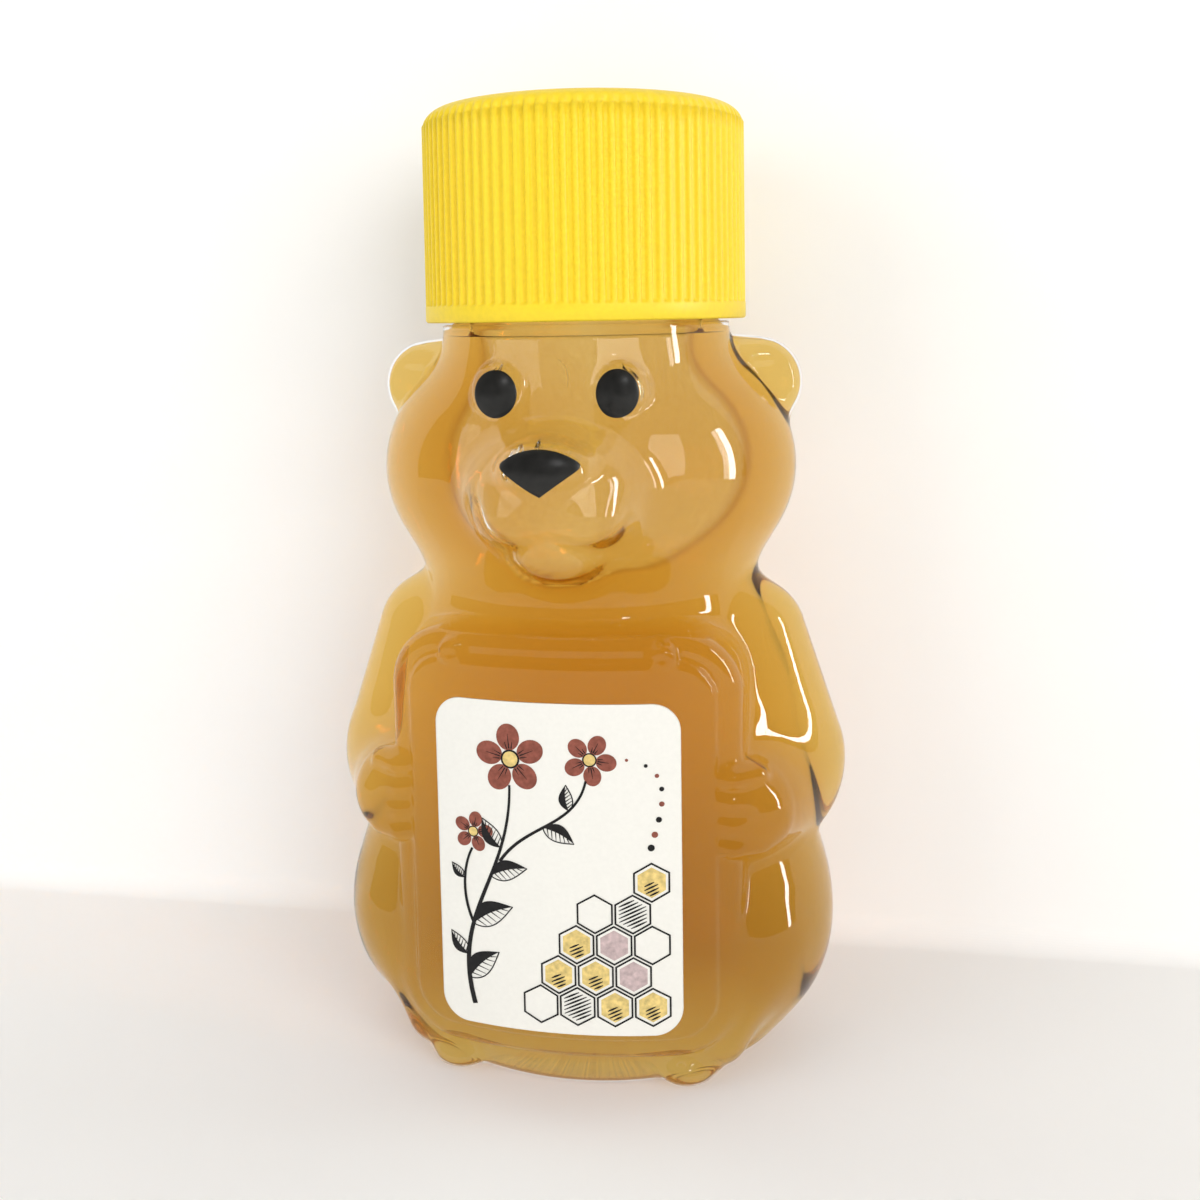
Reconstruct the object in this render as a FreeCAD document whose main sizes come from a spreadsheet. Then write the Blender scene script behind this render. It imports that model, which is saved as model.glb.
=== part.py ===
import FreeCAD, Part
import Sketcher
import math
import os

# Honey bear bottle: a small clear squeeze bottle moulded as a sitting bear, with a ribbed
# screw cap, a sealing liner, a honey filling, a belly label and printed eyes and nose.
# Frame: millimetres, +Z up along the neck axis, front of the bear towards -Y,
# origin on the base plane under the neck axis.

os.makedirs("parts", exist_ok=True)
doc = FreeCAD.newDocument("honey_bear_bottle")
V = FreeCAD.Vector

# Sizes of the wall, neck, cap, belly panel, base, label, prints and filling.
PLAIN_SIZES = [
    ("wall", 0.8),
    ("shoulder_height", 59.2),
    ("neck_rise", 11.6),
    ("neck_root_radius", 11.8),
    ("neck_root_depth", 9.2),
    ("neck_root_blend", 2.0),
    ("neck_root_foot_blend", 1.0),
    ("torso_crown_rise", 4.4),
    ("torso_crown_blend", 2.0),
    ("finish_height", 15.0),
    ("finish_radius", 10.8),
    ("finish_bore_radius", 9.2),
    ("finish_lead", 0.6),
    ("thread_height", 1.1),
    ("thread_clearance", 0.25),
    ("liner_thickness", 0.9),
    ("liner_clearance", 0.3),
    ("cap_skirt", 1.0),
    ("cap_top_thickness", 1.3),
    ("cap_gap", 0.3),
    ("cap_draft", 0.1),
    ("cap_edge_round", 1.7),
    ("cap_band_height", 1.3),
    ("rib_count", 90),
    ("groove_depth", 0.3),
    ("groove_half_width", 0.28),
    ("groove_floor_half_width", 0.16),
    ("panel_height", 20.1),
    ("panel_half_width", 13.7),
    ("panel_half_height", 16.5),
    ("panel_corner", 5.0),
    ("panel_front", 16.2),
    ("panel_back", 4.0),
    ("panel_face_radius", 34.0),
    ("panel_edge_blend", 1.3),
    ("panel_root_blend", 0.6),
    ("panel_border", 1.8),
    ("panel_step", 0.6),
    ("panel_step_blend", 0.7),
    ("base_edge_blend", 1.6),
    ("base_edge_cut", 0.3),
    ("label_width", 18.6),
    ("label_height", 25.5),
    ("label_corner", 2.1),
    ("label_drop", 1.15),
    ("label_thickness", 0.14),
    ("eye_print_width", 3.2),
    ("eye_print_height", 3.6),
    ("nose_print_width", 6.2),
    ("nose_print_height", 3.4),
    ("nose_print_tip_rise", 0.48),
    ("nose_print_corner", 0.55),
    ("print_thickness", 0.12),
    ("seat_gap", 0.03),
    ("honey_gap", 0.15),
    ("honey_drop", 1.6),
    ("pocket_setback", 7.4),
    ("pocket_slope", 0.2),
    ("pocket_turn", 10.5),
    ("pocket_floor", 41.0),
    ("pocket_closing", 2.4),
    ("pocket_blend", 2.0),
]

# Torso outline: height, half width and half depth of its elliptical section.
STATIONS = {
    "base": (0.0, 15.6, 12.8),
    "foot_line": (3.0, 17.2, 14.2),
    "hip": (10.0, 18.6, 15.2),
    "belly": (20.0, 18.6, 15.2),
    "chest": (28.0, 17.6, 14.2),
    "shoulder_line": (34.0, 15.6, 12.6),
    "throat": (39.5, 13.2, 11.2),
    "nape": (45.0, 12.0, 11.0),
}
STATION_FIELDS = ("level", "half_width", "half_depth")

# Rounded lumps: centre (across, along Y, height), half sizes and blend radius.
LUMPS = {
    "head": (0.0, 0.6, 47.6, 17.2, 14.8, 12.6, 2.8),
    "ear": (14.0, 1.2, 54.3, 3.7, 2.6, 3.7, 1.2),
    "ear_dish": (14.6, -2.2, 54.4, 2.2, 2.0, 2.3, 0.8),
    "muzzle": (0.0, -11.2, 47.0, 7.4, 7.6, 5.4, 2.0),
    "lip": (2.5, -14.9, 45.4, 3.1, 3.5, 2.7, 1.2),
    "chin": (0.0, -12.6, 42.4, 4.0, 3.8, 3.0, 1.6),
    "nose": (0.0, -17.2, 49.0, 3.6, 2.6, 2.3, 0.8),
    "eye": (4.6, -11.0, 54.2, 2.3, 2.2, 2.5, 0.5),
    "thigh": (13.5, -2.6, 11.2, 6.8, 9.4, 9.2, 1.8),
    "foot": (9.0, -10.4, 1.5, 2.6, 3.0, 1.6, 0.8),
    "button": (8.0, -14.7, 35.0, 1.1, 1.0, 1.1, 0.2),
}
LUMP_FIELDS = ("across", "along", "height", "half_width", "half_depth", "half_height", "blend")

# Limbs: tapered round bars from one end to the other, with end radii and blend radius.
LIMBS = {
    "upper_arm": (13.3, -1.2, 33.6, 15.8, -1.2, 24.4, 4.8, 5.3, 2.4),
    "fore_arm": (15.4, -3.0, 22.0, 13.6, -9.8, 22.4, 5.0, 4.0, 1.6),
    "shin": (13.9, -8.4, 11.6, 11.2, -10.0, 4.0, 3.6, 2.7, 1.6),
}
LIMB_FIELDS = ("start_across", "start_along", "start_height", "end_across", "end_along",
               "end_height", "start_radius", "end_radius", "blend")

# One sheet holds every size; each row is a name, its value and an alias.
sheet = doc.addObject("Spreadsheet::Sheet", "sizes")
all_sizes = list(PLAIN_SIZES)
for table, fields in ((STATIONS, STATION_FIELDS), (LUMPS, LUMP_FIELDS), (LIMBS, LIMB_FIELDS)):
    for name, values in table.items():
        for field, value in zip(fields, values):
            all_sizes.append((name + "_" + field, value))
for row, (name, value) in enumerate(all_sizes, start=1):
    sheet.set("A%d" % row, name)
    sheet.set("B%d" % row, "%g" % value)
    sheet.setAlias("B%d" % row, name)
doc.recompute()

size = {name: float(sheet.get(name)) for name, value in all_sizes}


def group(name, fields):
    return tuple(size[name + "_" + field] for field in fields)


stations = [group(name, STATION_FIELDS) for name in STATIONS]
lumps = {name: group(name, LUMP_FIELDS) for name in LUMPS}
limbs = {name: group(name, LIMB_FIELDS) for name in LIMBS}

# The figure is drawn with its shoulder a set rise above the middle of the head, then
# stretched upwards so that the shoulder comes to its height.
drawn_shoulder = size["head_height"] + size["neck_rise"]
stretch = size["shoulder_height"] / drawn_shoulder


# Distance helpers for the moulded form: negative inside, zero on the skin.
TINY = 1e-9


def join(a, b, blend):
    h = min(max(0.5 + 0.5 * (b - a) / blend, 0.0), 1.0)
    return b + (a - b) * h - blend * h * (1.0 - h)


def meet(a, b, blend):
    return -join(-a, -b, blend)


def lump_distance(x, y, z, lump):
    cx, cy, cz, rx, ry, rz = lump[:6]
    ux = (x - cx) / rx
    uy = (y - cy) / ry
    uz = (z - cz) / rz
    near = math.sqrt(ux * ux + uy * uy + uz * uz)
    slope = math.sqrt((ux / rx) ** 2 + (uy / ry) ** 2 + (uz / rz) ** 2) + TINY
    return near * (near - 1.0) / slope


def limb_distance(x, y, z, limb):
    ax, ay, az, bx, by, bz, start_radius, end_radius = limb[:8]
    dx = bx - ax
    dy = by - ay
    dz = bz - az
    along = ((x - ax) * dx + (y - ay) * dy + (z - az) * dz) / (dx * dx + dy * dy + dz * dz)
    along = min(max(along, 0.0), 1.0)
    ex = x - ax - along * dx
    ey = y - ay - along * dy
    ez = z - az - along * dz
    return math.sqrt(ex * ex + ey * ey + ez * ez) - (start_radius + along * (end_radius - start_radius))


def station_slopes(column):
    steps = []
    for low, high in zip(stations, stations[1:]):
        steps.append((high[column] - low[column]) / (high[0] - low[0]))
    slopes = [steps[0]]
    for before, after in zip(steps, steps[1:]):
        slopes.append(2.0 * before * after / (before + after) if before * after > 0.0 else 0.0)
    slopes.append(steps[-1])
    return slopes


width_slopes = station_slopes(1)
depth_slopes = station_slopes(2)


def station_value(z, column, slopes):
    z = min(max(z, stations[0][0]), stations[-1][0])
    index = 0
    while index < len(stations) - 2 and z > stations[index + 1][0]:
        index += 1
    low = stations[index]
    high = stations[index + 1]
    step = high[0] - low[0]
    t = (z - low[0]) / step
    s = 1.0 - t
    value = (1.0 + 2.0 * t) * s * s * low[column] + t * t * (3.0 - 2.0 * t) * high[column]
    return value + step * t * s * (s * slopes[index] - t * slopes[index + 1])


def torso_distance(x, y, z):
    half_width = station_value(z, 1, width_slopes)
    half_depth = station_value(z, 2, depth_slopes)
    section = math.hypot(x / half_width, y / half_depth) - 1.0
    crown = size["throat_level"] + size["torso_crown_rise"]
    return meet(section * min(half_width, half_depth), z - crown, size["torso_crown_blend"])


def panel_layer(x, y, z, border, front, blend):
    """A rounded slab with a gently bowed face; its outline is drawn in by the border."""
    round_off = size["panel_corner"] - border
    side = abs(x) - size["panel_half_width"] + border + round_off
    rise = abs(z - size["panel_height"]) - size["panel_half_height"] + border + round_off
    outline = math.hypot(max(side, 0.0), max(rise, 0.0)) + min(max(side, rise), 0.0) - round_off
    face_radius = size["panel_face_radius"]
    face = math.hypot(x, y + front - face_radius) - face_radius
    return meet(outline, face, blend)


def panel_distance(x, y, z):
    low = panel_layer(x, y, z, 0.0, size["panel_front"] - size["panel_step"], size["panel_edge_blend"])
    high = panel_layer(x, y, z, size["panel_border"], size["panel_front"], size["panel_step_blend"])
    return max(min(low, high), y + size["panel_back"])


def form_distance(x, y, z):
    x = abs(x)
    z = z / stretch
    d = torso_distance(x, y, z)
    if z > size["shoulder_line_level"]:
        d = join(d, lump_distance(x, y, z, lumps["head"]), lumps["head"][6])
        neck_root = math.hypot(x, y) - size["neck_root_radius"]
        root_foot = drawn_shoulder - size["neck_root_depth"] - z
        d = join(d, meet(neck_root, root_foot, size["neck_root_foot_blend"]), size["neck_root_blend"])
        ear = meet(lump_distance(x, y, z, lumps["ear"]),
                   -lump_distance(x, y, z, lumps["ear_dish"]), lumps["ear_dish"][6])
        d = join(d, ear, lumps["ear"][6])
        for name in ("muzzle", "lip", "chin", "nose", "eye"):
            d = join(d, lump_distance(x, y, z, lumps[name]), lumps[name][6])
    if z < size["throat_level"] + size["upper_arm_start_radius"]:
        arm = join(limb_distance(x, y, z, limbs["upper_arm"]),
                   limb_distance(x, y, z, limbs["fore_arm"]), limbs["upper_arm"][8])
        d = join(d, arm, limbs["fore_arm"][8])
        d = join(d, lump_distance(x, y, z, lumps["thigh"]), lumps["thigh"][6])
        d = join(d, limb_distance(x, y, z, limbs["shin"]), limbs["shin"][8])
        d = join(d, lump_distance(x, y, z, lumps["foot"]), lumps["foot"][6])
        d = join(d, panel_distance(x, y, z), size["panel_root_blend"])
        d = join(d, lump_distance(x, y, z, lumps["button"]), lumps["button"][6])
        d = meet(d, -z - size["base_edge_cut"], size["base_edge_blend"])
    return d


# The skin is found by walking in along level rays, towards the axis or from the front.
START_RADIUS = 30.0
STEP_SHARE = 0.8
LONGEST_STEP = 3.0
LONGEST_STEP_BACK = 1.0
CLOSE_ENOUGH = 1e-4
MOST_STEPS = 90


def walk_in(point_at, offset):
    way = 0.0
    for step in range(MOST_STEPS):
        d = form_distance(*point_at(way)) - offset
        if abs(d) < CLOSE_ENOUGH:
            break
        way += STEP_SHARE * min(max(d, -LONGEST_STEP_BACK), LONGEST_STEP)
    return way


def skin_radius(turn, z, offset):
    across = math.sin(turn)
    along = -math.cos(turn)

    def point_at(way):
        radius = START_RADIUS - way
        return radius * across, radius * along, z

    return START_RADIUS - walk_in(point_at, offset)


def facing_out(x, z):
    """Direction in which the skin faces at a place seen from the front."""
    y = walk_in(lambda way: (x, way - START_RADIUS, z), 0.0) - START_RADIUS
    probe = size["seat_gap"]
    here = form_distance(x, y, z)
    slope = V(form_distance(x + probe, y, z) - here,
              form_distance(x, y + probe, z) - here,
              form_distance(x, y, z + probe) - here)
    return slope.normalize()


# Columns run all round from the back, closer together at the face; rows run up from the base
# to the throat and from there to the top. The cavity is plainer, so it needs fewer of both.
SKIN_COLUMN_COUNT = 36
SKIN_ROW_COUNTS = (38, 28)
CAVITY_COLUMN_COUNT = 26
CAVITY_ROW_COUNTS = (26, 20)
FACE_CROWDING = 0.35
FIRST_ROWS = (0.0, 0.06, 0.2, 0.42, 0.75, 1.2)
DEGREE = 3


def column_turns(half_count):
    turns = []
    for index in range(-half_count, half_count):
        share = abs(index) / half_count
        turn = math.pi * share * (1.0 - FACE_CROWDING * (1.0 - share))
        turns.append(math.copysign(turn, index))
    return turns


def row_heights(low, high, counts):
    heights = [low + rise for rise in FIRST_ROWS]
    for top, count in zip((stretch * size["throat_level"], high), counts):
        start = heights[-1]
        heights += [start + (top - start) * index / count for index in range(1, count + 1)]
    return heights


def smooth_surface(rows):
    """Surface drawn along closed rows of guide points, smooth all round and from row to row."""
    count = len(rows[0])
    spans = len(rows) - DEGREE
    columns = [[row[index] for row in rows] for index in range(count)]
    round_knots = [float(index) for index in range(count + 1)]
    rise_knots = [float(index) for index in range(spans + 1)]
    rise_mults = [DEGREE + 1] + [1] * (spans - 1) + [DEGREE + 1]
    surface = Part.BSplineSurface()
    surface.buildFromPolesMultsKnots(
        columns, [1] * (count + 1), rise_mults, round_knots, rise_knots, True, False, DEGREE, DEGREE)
    return surface


SEW_TOLERANCE = 1e-6
LARGEST_TOLERANCE = 1e-5


def moulded_solid(radius_at, turns, heights):
    rows = []
    for z in heights:
        row = []
        for turn in turns:
            radius = radius_at(turn, z)
            row.append(V(radius * math.sin(turn), -radius * math.cos(turn), z))
        rows.append(row)
    side = smooth_surface(rows).toShape()
    ends = [Part.Face(Part.Wire([edge])) for edge in side.Edges if edge.isClosed()]
    skin = Part.Shell([side] + ends)
    skin.sewShape()
    solid = Part.Solid(skin)
    solid.fix(SEW_TOLERANCE, SEW_TOLERANCE, LARGEST_TOLERANCE)
    return solid


def honey_radius(turn, z):
    """The cavity less the air, which has a sloping surface and closes under the chin."""
    inset = size["wall"] + size["honey_gap"]
    below = min(max((stretch * size["pocket_floor"] - z) / size["pocket_closing"], 0.0), 1.0)
    setback = size["pocket_setback"] + size["pocket_slope"] * (size["shoulder_height"] - z)
    setback += size["head_half_depth"] * below * below
    facing = math.cos(turn - math.radians(size["pocket_turn"]))
    surface = min(setback / facing, START_RADIUS) if facing > 0.0 else START_RADIUS
    return join(skin_radius(turn, z, -inset), surface, size["pocket_blend"])


# Outlines of the label and prints, as bars that run into the bear from the front.
FILM_START = -25.0
FILM_REACH = 25.0


def upright_edges(bar):
    return [edge for edge in bar.Edges if edge.BoundBox.YLength > FILM_REACH / 2.0]


def oval_bar(x, z, width, height):
    centre = V(x, FILM_START, z)
    oval = Part.Ellipse(centre + V(0, 0, height / 2.0), centre + V(width / 2.0, 0, 0), centre)
    return Part.Face(Part.Wire([oval.toShape()])).extrude(V(0, FILM_REACH, 0))


def label_bar(z):
    width = size["label_width"]
    height = size["label_height"]
    block = Part.makeBox(width, FILM_REACH, height, V(-width / 2.0, FILM_START, z - height / 2.0))
    return block.makeFillet(size["label_corner"], upright_edges(block))


def nose_bar(z):
    half = size["nose_print_width"] / 2.0
    half_height = size["nose_print_height"] / 2.0
    left = V(-half, FILM_START, z + size["nose_print_tip_rise"])
    right = V(half, FILM_START, z + size["nose_print_tip_rise"])
    bottom = V(0, FILM_START, z - half_height)
    brow = Part.Arc(left, V(0, FILM_START, z + half_height), right).toShape()
    sides = [Part.makeLine(right, bottom), Part.makeLine(bottom, left)]
    block = Part.Face(Part.Wire([brow] + sides)).extrude(V(0, FILM_REACH, 0))
    return block.makeFillet(size["nose_print_corner"], upright_edges(block))


def skin_film(skin, bar, x, z, thickness):
    """The part of the bar between two copies of the skin, moved out a little."""
    outward = facing_out(x, z)
    outer = skin.translated(outward * (size["seat_gap"] + thickness))
    inner = skin.translated(outward * size["seat_gap"])
    film = bar.common(outer).cut(inner)
    return max(film.Solids, key=lambda piece: piece.Volume)


def shaped(name, shape):
    feature = doc.addObject("Part::Feature", name)
    feature.Label = name
    feature.Shape = shape
    return feature


# Sketch helpers for the turned pieces.
def origin_plane(body, role):
    return [item for item in body.Origin.OriginFeatures if item.Role == role][0]


def new_body(name):
    body = doc.addObject("PartDesign::Body", name)
    body.Label = name
    return body


def new_sketch(body, name, role):
    sketch = body.newObject("Sketcher::SketchObject", name)
    sketch.AttachmentSupport = [(origin_plane(body, role), "")]
    sketch.MapMode = "FlatFace"
    return sketch


def total(text):
    """Value of a sum of named sizes, such as "wall + cap_gap"."""
    value = 0.0
    sign = 1.0
    for word in text.split():
        if word in ("+", "-"):
            sign = 1.0 if word == "+" else -1.0
        else:
            value += sign * (size[word] if word in size else float(word))
    return value


def formula(text):
    return " ".join("sizes." + word if word in size else word for word in text.split())


def hold(sketch, kind, index, text):
    value = total(text)
    if value == 0.0:
        axis = -2 if kind == "DistanceX" else -1
        sketch.addConstraint(Sketcher.Constraint("PointOnObject", index, 1, axis))
    elif value > 0.0:
        number = sketch.addConstraint(Sketcher.Constraint(kind, -1, 1, index, 1, value))
        sketch.setExpression("Constraints[%d]" % number, formula(text))
    else:
        number = sketch.addConstraint(Sketcher.Constraint(kind, index, 1, -1, 1, -value))
        sketch.setExpression("Constraints[%d]" % number, "-(%s)" % formula(text))


def closed_outline(sketch, corners):
    """Straight-sided outline whose corners are held at sums of named sizes."""
    count = len(corners)
    points = [V(total(x), total(y), 0) for x, y in corners]
    for index in range(count):
        sketch.addGeometry(Part.LineSegment(points[index], points[(index + 1) % count]))
    for index in range(count):
        sketch.addConstraint(Sketcher.Constraint("Coincident", index, 2, (index + 1) % count, 1))
    for index, (x, y) in enumerate(corners):
        hold(sketch, "DistanceX", index, x)
        hold(sketch, "DistanceY", index, y)


def turned_body(name, corners):
    body = new_body(name)
    sketch = new_sketch(body, name + "_profile", "XZ_Plane")
    closed_outline(sketch, corners)
    turned = body.newObject("PartDesign::Revolution", name + "_turned")
    turned.Profile = sketch
    turned.ReferenceAxis = (sketch, ["V_Axis"])
    turned.Angle = 360.0
    sketch.Visibility = False
    return body, turned


# Heights and radii up the neck, as sums of named sizes.
RIM = "shoulder_height + finish_height"
LINER_TOP = RIM + " + liner_thickness"
CAP_TOP = LINER_TOP + " + cap_top_thickness"
CAP_FOOT = "shoulder_height + cap_gap"
BAND_TOP = CAP_FOOT + " + cap_band_height"
CAP_INSIDE = "finish_radius + thread_height + thread_clearance"
CAP_OUTSIDE = CAP_INSIDE + " + cap_skirt"
LINER_RADIUS = CAP_INSIDE + " - liner_clearance"
NECK_FOOT = "shoulder_height - wall"

# The moulded bear: skin, cavity and neck.
skin_turns = column_turns(SKIN_COLUMN_COUNT)
cavity_turns = column_turns(CAVITY_COLUMN_COUNT)
skin_rows = row_heights(0.0, size["shoulder_height"], SKIN_ROW_COUNTS)
cavity_rows = row_heights(size["wall"], total(NECK_FOOT), CAVITY_ROW_COUNTS)
honey_rows = row_heights(total("wall + honey_gap"), total("shoulder_height - honey_drop"), CAVITY_ROW_COUNTS)

bear_skin = shaped("bear_skin", moulded_solid(
    lambda turn, z: skin_radius(turn, z, 0.0), skin_turns, skin_rows))
bear_cavity = shaped("bear_cavity", moulded_solid(
    lambda turn, z: skin_radius(turn, z, -size["wall"]), cavity_turns, cavity_rows))
neck_post, neck_post_turned = turned_body("neck_post", [
    ("0", NECK_FOOT),
    ("finish_radius", NECK_FOOT),
    ("finish_radius", RIM + " - finish_lead"),
    ("finish_radius - finish_lead", RIM),
    ("0", RIM),
])
neck_bore, neck_bore_turned = turned_body("neck_bore", [
    ("0", NECK_FOOT + " - wall"),
    ("finish_bore_radius", NECK_FOOT + " - wall"),
    ("finish_bore_radius", RIM + " + wall"),
    ("0", RIM + " + wall"),
])

bottle_outside = doc.addObject("Part::Fuse", "bottle_outside")
bottle_outside.Base = bear_skin
bottle_outside.Tool = neck_post
bottle_inside = doc.addObject("Part::Fuse", "bottle_inside")
bottle_inside.Base = bear_cavity
bottle_inside.Tool = neck_bore
bear_bottle = doc.addObject("Part::Cut", "bear_bottle")
bear_bottle.Base = bottle_outside
bear_bottle.Tool = bottle_inside

# Honey fills the cavity; the air left in the bottle lies at the face.
honey_fill = shaped("honey_fill", moulded_solid(honey_radius, cavity_turns, honey_rows))

# Ribbed screw cap: a turned cup with fine grooves from the plain band to the top.
screw_cap, cap_cup = turned_body("screw_cap", [
    (CAP_INSIDE, CAP_FOOT),
    (CAP_OUTSIDE, CAP_FOOT),
    (CAP_OUTSIDE, BAND_TOP),
    (CAP_OUTSIDE + " - cap_draft", CAP_TOP),
    ("0", CAP_TOP),
    ("0", LINER_TOP),
    (CAP_INSIDE, LINER_TOP),
])

doc.recompute()
cap_top_radius = total(CAP_OUTSIDE + " - cap_draft")
top_edges = []
for number, edge in enumerate(cap_cup.Shape.Edges, start=1):
    if edge.isClosed() and abs(edge.BoundBox.XMax - cap_top_radius) < CLOSE_ENOUGH:
        top_edges.append("Edge%d" % number)
cap_round = screw_cap.newObject("PartDesign::Fillet", "cap_round")
cap_round.Base = (cap_cup, top_edges)
cap_round.setExpression("Radius", formula("cap_edge_round"))
groove_sketch = new_sketch(screw_cap, "groove_outline", "XY_Plane")
groove_sketch.setExpression("AttachmentOffset.Base.z", formula(BAND_TOP))
closed_outline(groove_sketch, [
    (CAP_OUTSIDE + " + groove_depth", "- groove_half_width"),
    (CAP_OUTSIDE + " + groove_depth", "groove_half_width"),
    (CAP_OUTSIDE + " - groove_depth", "groove_floor_half_width"),
    (CAP_OUTSIDE + " - groove_depth", "- groove_floor_half_width"),
])
rib_groove = screw_cap.newObject("PartDesign::Pocket", "rib_groove")
rib_groove.Profile = groove_sketch
rib_groove.Type = "ThroughAll"
rib_groove.Reversed = True
rib_ring = screw_cap.newObject("PartDesign::PolarPattern", "rib_ring")
rib_ring.Originals = [rib_groove]
rib_ring.Axis = (groove_sketch, ["N_Axis"])
rib_ring.Angle = 360.0
rib_ring.setExpression("Occurrences", formula("rib_count"))
screw_cap.Tip = rib_ring
groove_sketch.Visibility = False

# Foam liner between the cap and the rim of the neck.
cap_liner, liner_disc = turned_body("cap_liner", [
    ("0", RIM),
    (LINER_RADIUS, RIM),
    (LINER_RADIUS, LINER_TOP),
    ("0", LINER_TOP),
])

# Label and prints lie on the skin.
label_centre = stretch * total("panel_height - label_drop")
eye_centre = stretch * size["eye_height"]
nose_centre = stretch * size["nose_height"]
shaped("front_label", skin_film(
    bear_skin.Shape, label_bar(label_centre), 0.0, label_centre, size["label_thickness"]))
for name, side in (("left_eye", 1.0), ("right_eye", -1.0)):
    eye_side = side * size["eye_across"]
    eye_bar = oval_bar(eye_side, eye_centre, size["eye_print_width"], size["eye_print_height"])
    shaped(name, skin_film(bear_skin.Shape, eye_bar, eye_side, eye_centre, size["print_thickness"]))
shaped("nose_print", skin_film(
    bear_skin.Shape, nose_bar(nose_centre), 0.0, nose_centre, size["print_thickness"]))

doc.recompute()

NODES = ("bear_bottle", "honey_fill", "screw_cap", "cap_liner", "front_label",
         "left_eye", "right_eye", "nose_print")
for item in doc.Objects:
    if "Invalid" in item.State or "Error" in item.State:
        raise RuntimeError("not built: " + item.Label)
for name in NODES:
    shape = doc.getObject(name).Shape
    if shape.isNull() or not shape.isValid() or len(shape.Solids) != 1:
        raise RuntimeError("not one sound solid: " + name)
    shape.exportStep("parts/" + name + ".step")
    print(name, round(shape.Volume, 2), shape.BoundBox)
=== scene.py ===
import math

import bpy
import numpy as np
from mathutils import Matrix, Vector


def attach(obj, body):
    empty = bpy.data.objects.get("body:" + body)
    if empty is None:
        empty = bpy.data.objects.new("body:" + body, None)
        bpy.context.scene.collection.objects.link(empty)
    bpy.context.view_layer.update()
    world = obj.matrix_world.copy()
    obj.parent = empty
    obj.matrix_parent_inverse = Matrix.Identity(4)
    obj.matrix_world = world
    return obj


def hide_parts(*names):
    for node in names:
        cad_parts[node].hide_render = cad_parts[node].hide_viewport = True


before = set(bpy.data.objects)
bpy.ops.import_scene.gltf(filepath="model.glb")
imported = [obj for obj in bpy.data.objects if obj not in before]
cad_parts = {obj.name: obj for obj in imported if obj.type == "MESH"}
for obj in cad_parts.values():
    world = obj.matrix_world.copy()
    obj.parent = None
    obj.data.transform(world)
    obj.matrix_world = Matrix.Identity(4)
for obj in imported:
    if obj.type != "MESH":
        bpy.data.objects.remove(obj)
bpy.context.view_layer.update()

# Honey bear bottle in millimetres, in the frame of the solids: +Z up along the neck axis,
# front of the bear towards -Y, base at zero height.
MM = 0.001
TINY = 1e-9
QUARTER_TURN = 0.5 * math.pi

# Bottle wall, neck and finish
WALL = 0.8
SHOULDER_HEIGHT = 59.2
NECK_ROOT_RADIUS = 11.8
NECK_ROOT_DEPTH = 9.2
NECK_ROOT_EDGE = 1.0
NECK_ROOT_BLEND = 2.0
NECK_LEDGE = SHOULDER_HEIGHT + 0.1
NECK_SOFT = 0.25
FINISH_HEIGHT = 15.0
FINISH_RADIUS = 10.8
FINISH_BORE_RADIUS = 9.2
FINISH_LEAD = 0.6
FINISH_LEAD_ROUND = 0.3
RIM = SHOULDER_HEIGHT + FINISH_HEIGHT

# Screw cap and liner
THREAD_HEIGHT = 1.1
THREAD_CLEARANCE = 0.25
THREAD_PITCH = 3.175
LINER_THICKNESS = 0.9
CAP_SKIRT = 1.0
CAP_TOP_THICKNESS = 1.3
CAP_GAP = 0.3
CAP_DRAFT = 0.1
CAP_EDGE_ROUND = 1.7
CAP_BAND_HEIGHT = 1.3
RIB_COUNT = 90
RIB_DEPTH = 0.3
LINER_TOP = RIM + LINER_THICKNESS
CAP_TOP = LINER_TOP + CAP_TOP_THICKNESS
CAP_FOOT = SHOULDER_HEIGHT + CAP_GAP
CAP_INSIDE = FINISH_RADIUS + THREAD_HEIGHT + THREAD_CLEARANCE
CAP_OUTSIDE = CAP_INSIDE + CAP_SKIRT

# Belly panel and base edge
PANEL_HEIGHT = 20.1
PANEL_HALF_WIDTH = 13.7
PANEL_HALF_HEIGHT = 16.5
PANEL_CORNER = 5.0
PANEL_FRONT = 16.2
PANEL_FACE_RADIUS = 34.0
PANEL_BACK = 4.0
PANEL_EDGE_BLEND = 1.3
PANEL_ROOT_BLEND = 0.6
PANEL_BORDER = 1.8
PANEL_STEP = 0.6
PANEL_STEP_BLEND = 0.7
BASE_EDGE_BLEND = 1.6
BASE_EDGE_CUT = 0.3

# Label and prints
LABEL_WIDTH = 18.6
LABEL_HEIGHT = 25.5
LABEL_CORNER = 2.1
LABEL_DROP = 1.15
LABEL_THICKNESS = 0.14
LABEL_MIDDLE = PANEL_HEIGHT - LABEL_DROP
EYE_PRINT_WIDTH = 3.2
EYE_PRINT_HEIGHT = 3.6
NOSE_PRINT_WIDTH = 6.2
NOSE_PRINT_HEIGHT = 3.4
PRINT_THICKNESS = 0.12
SEAT_GAP = 0.03

# Torso stations: height, half width and half depth
STATIONS = (
    (0.0, 15.6, 12.8), (3.0, 17.2, 14.2), (10.0, 18.6, 15.2), (20.0, 18.6, 15.2),
    (28.0, 17.6, 14.2), (34.0, 15.6, 12.6), (39.5, 13.2, 11.2), (45.0, 12.0, 11.0),
)
SHOULDER_LINE = STATIONS[5][0]
THROAT = STATIONS[6][0]
CROWN_RISE = 4.4
CROWN_BLEND = 2.0

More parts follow.
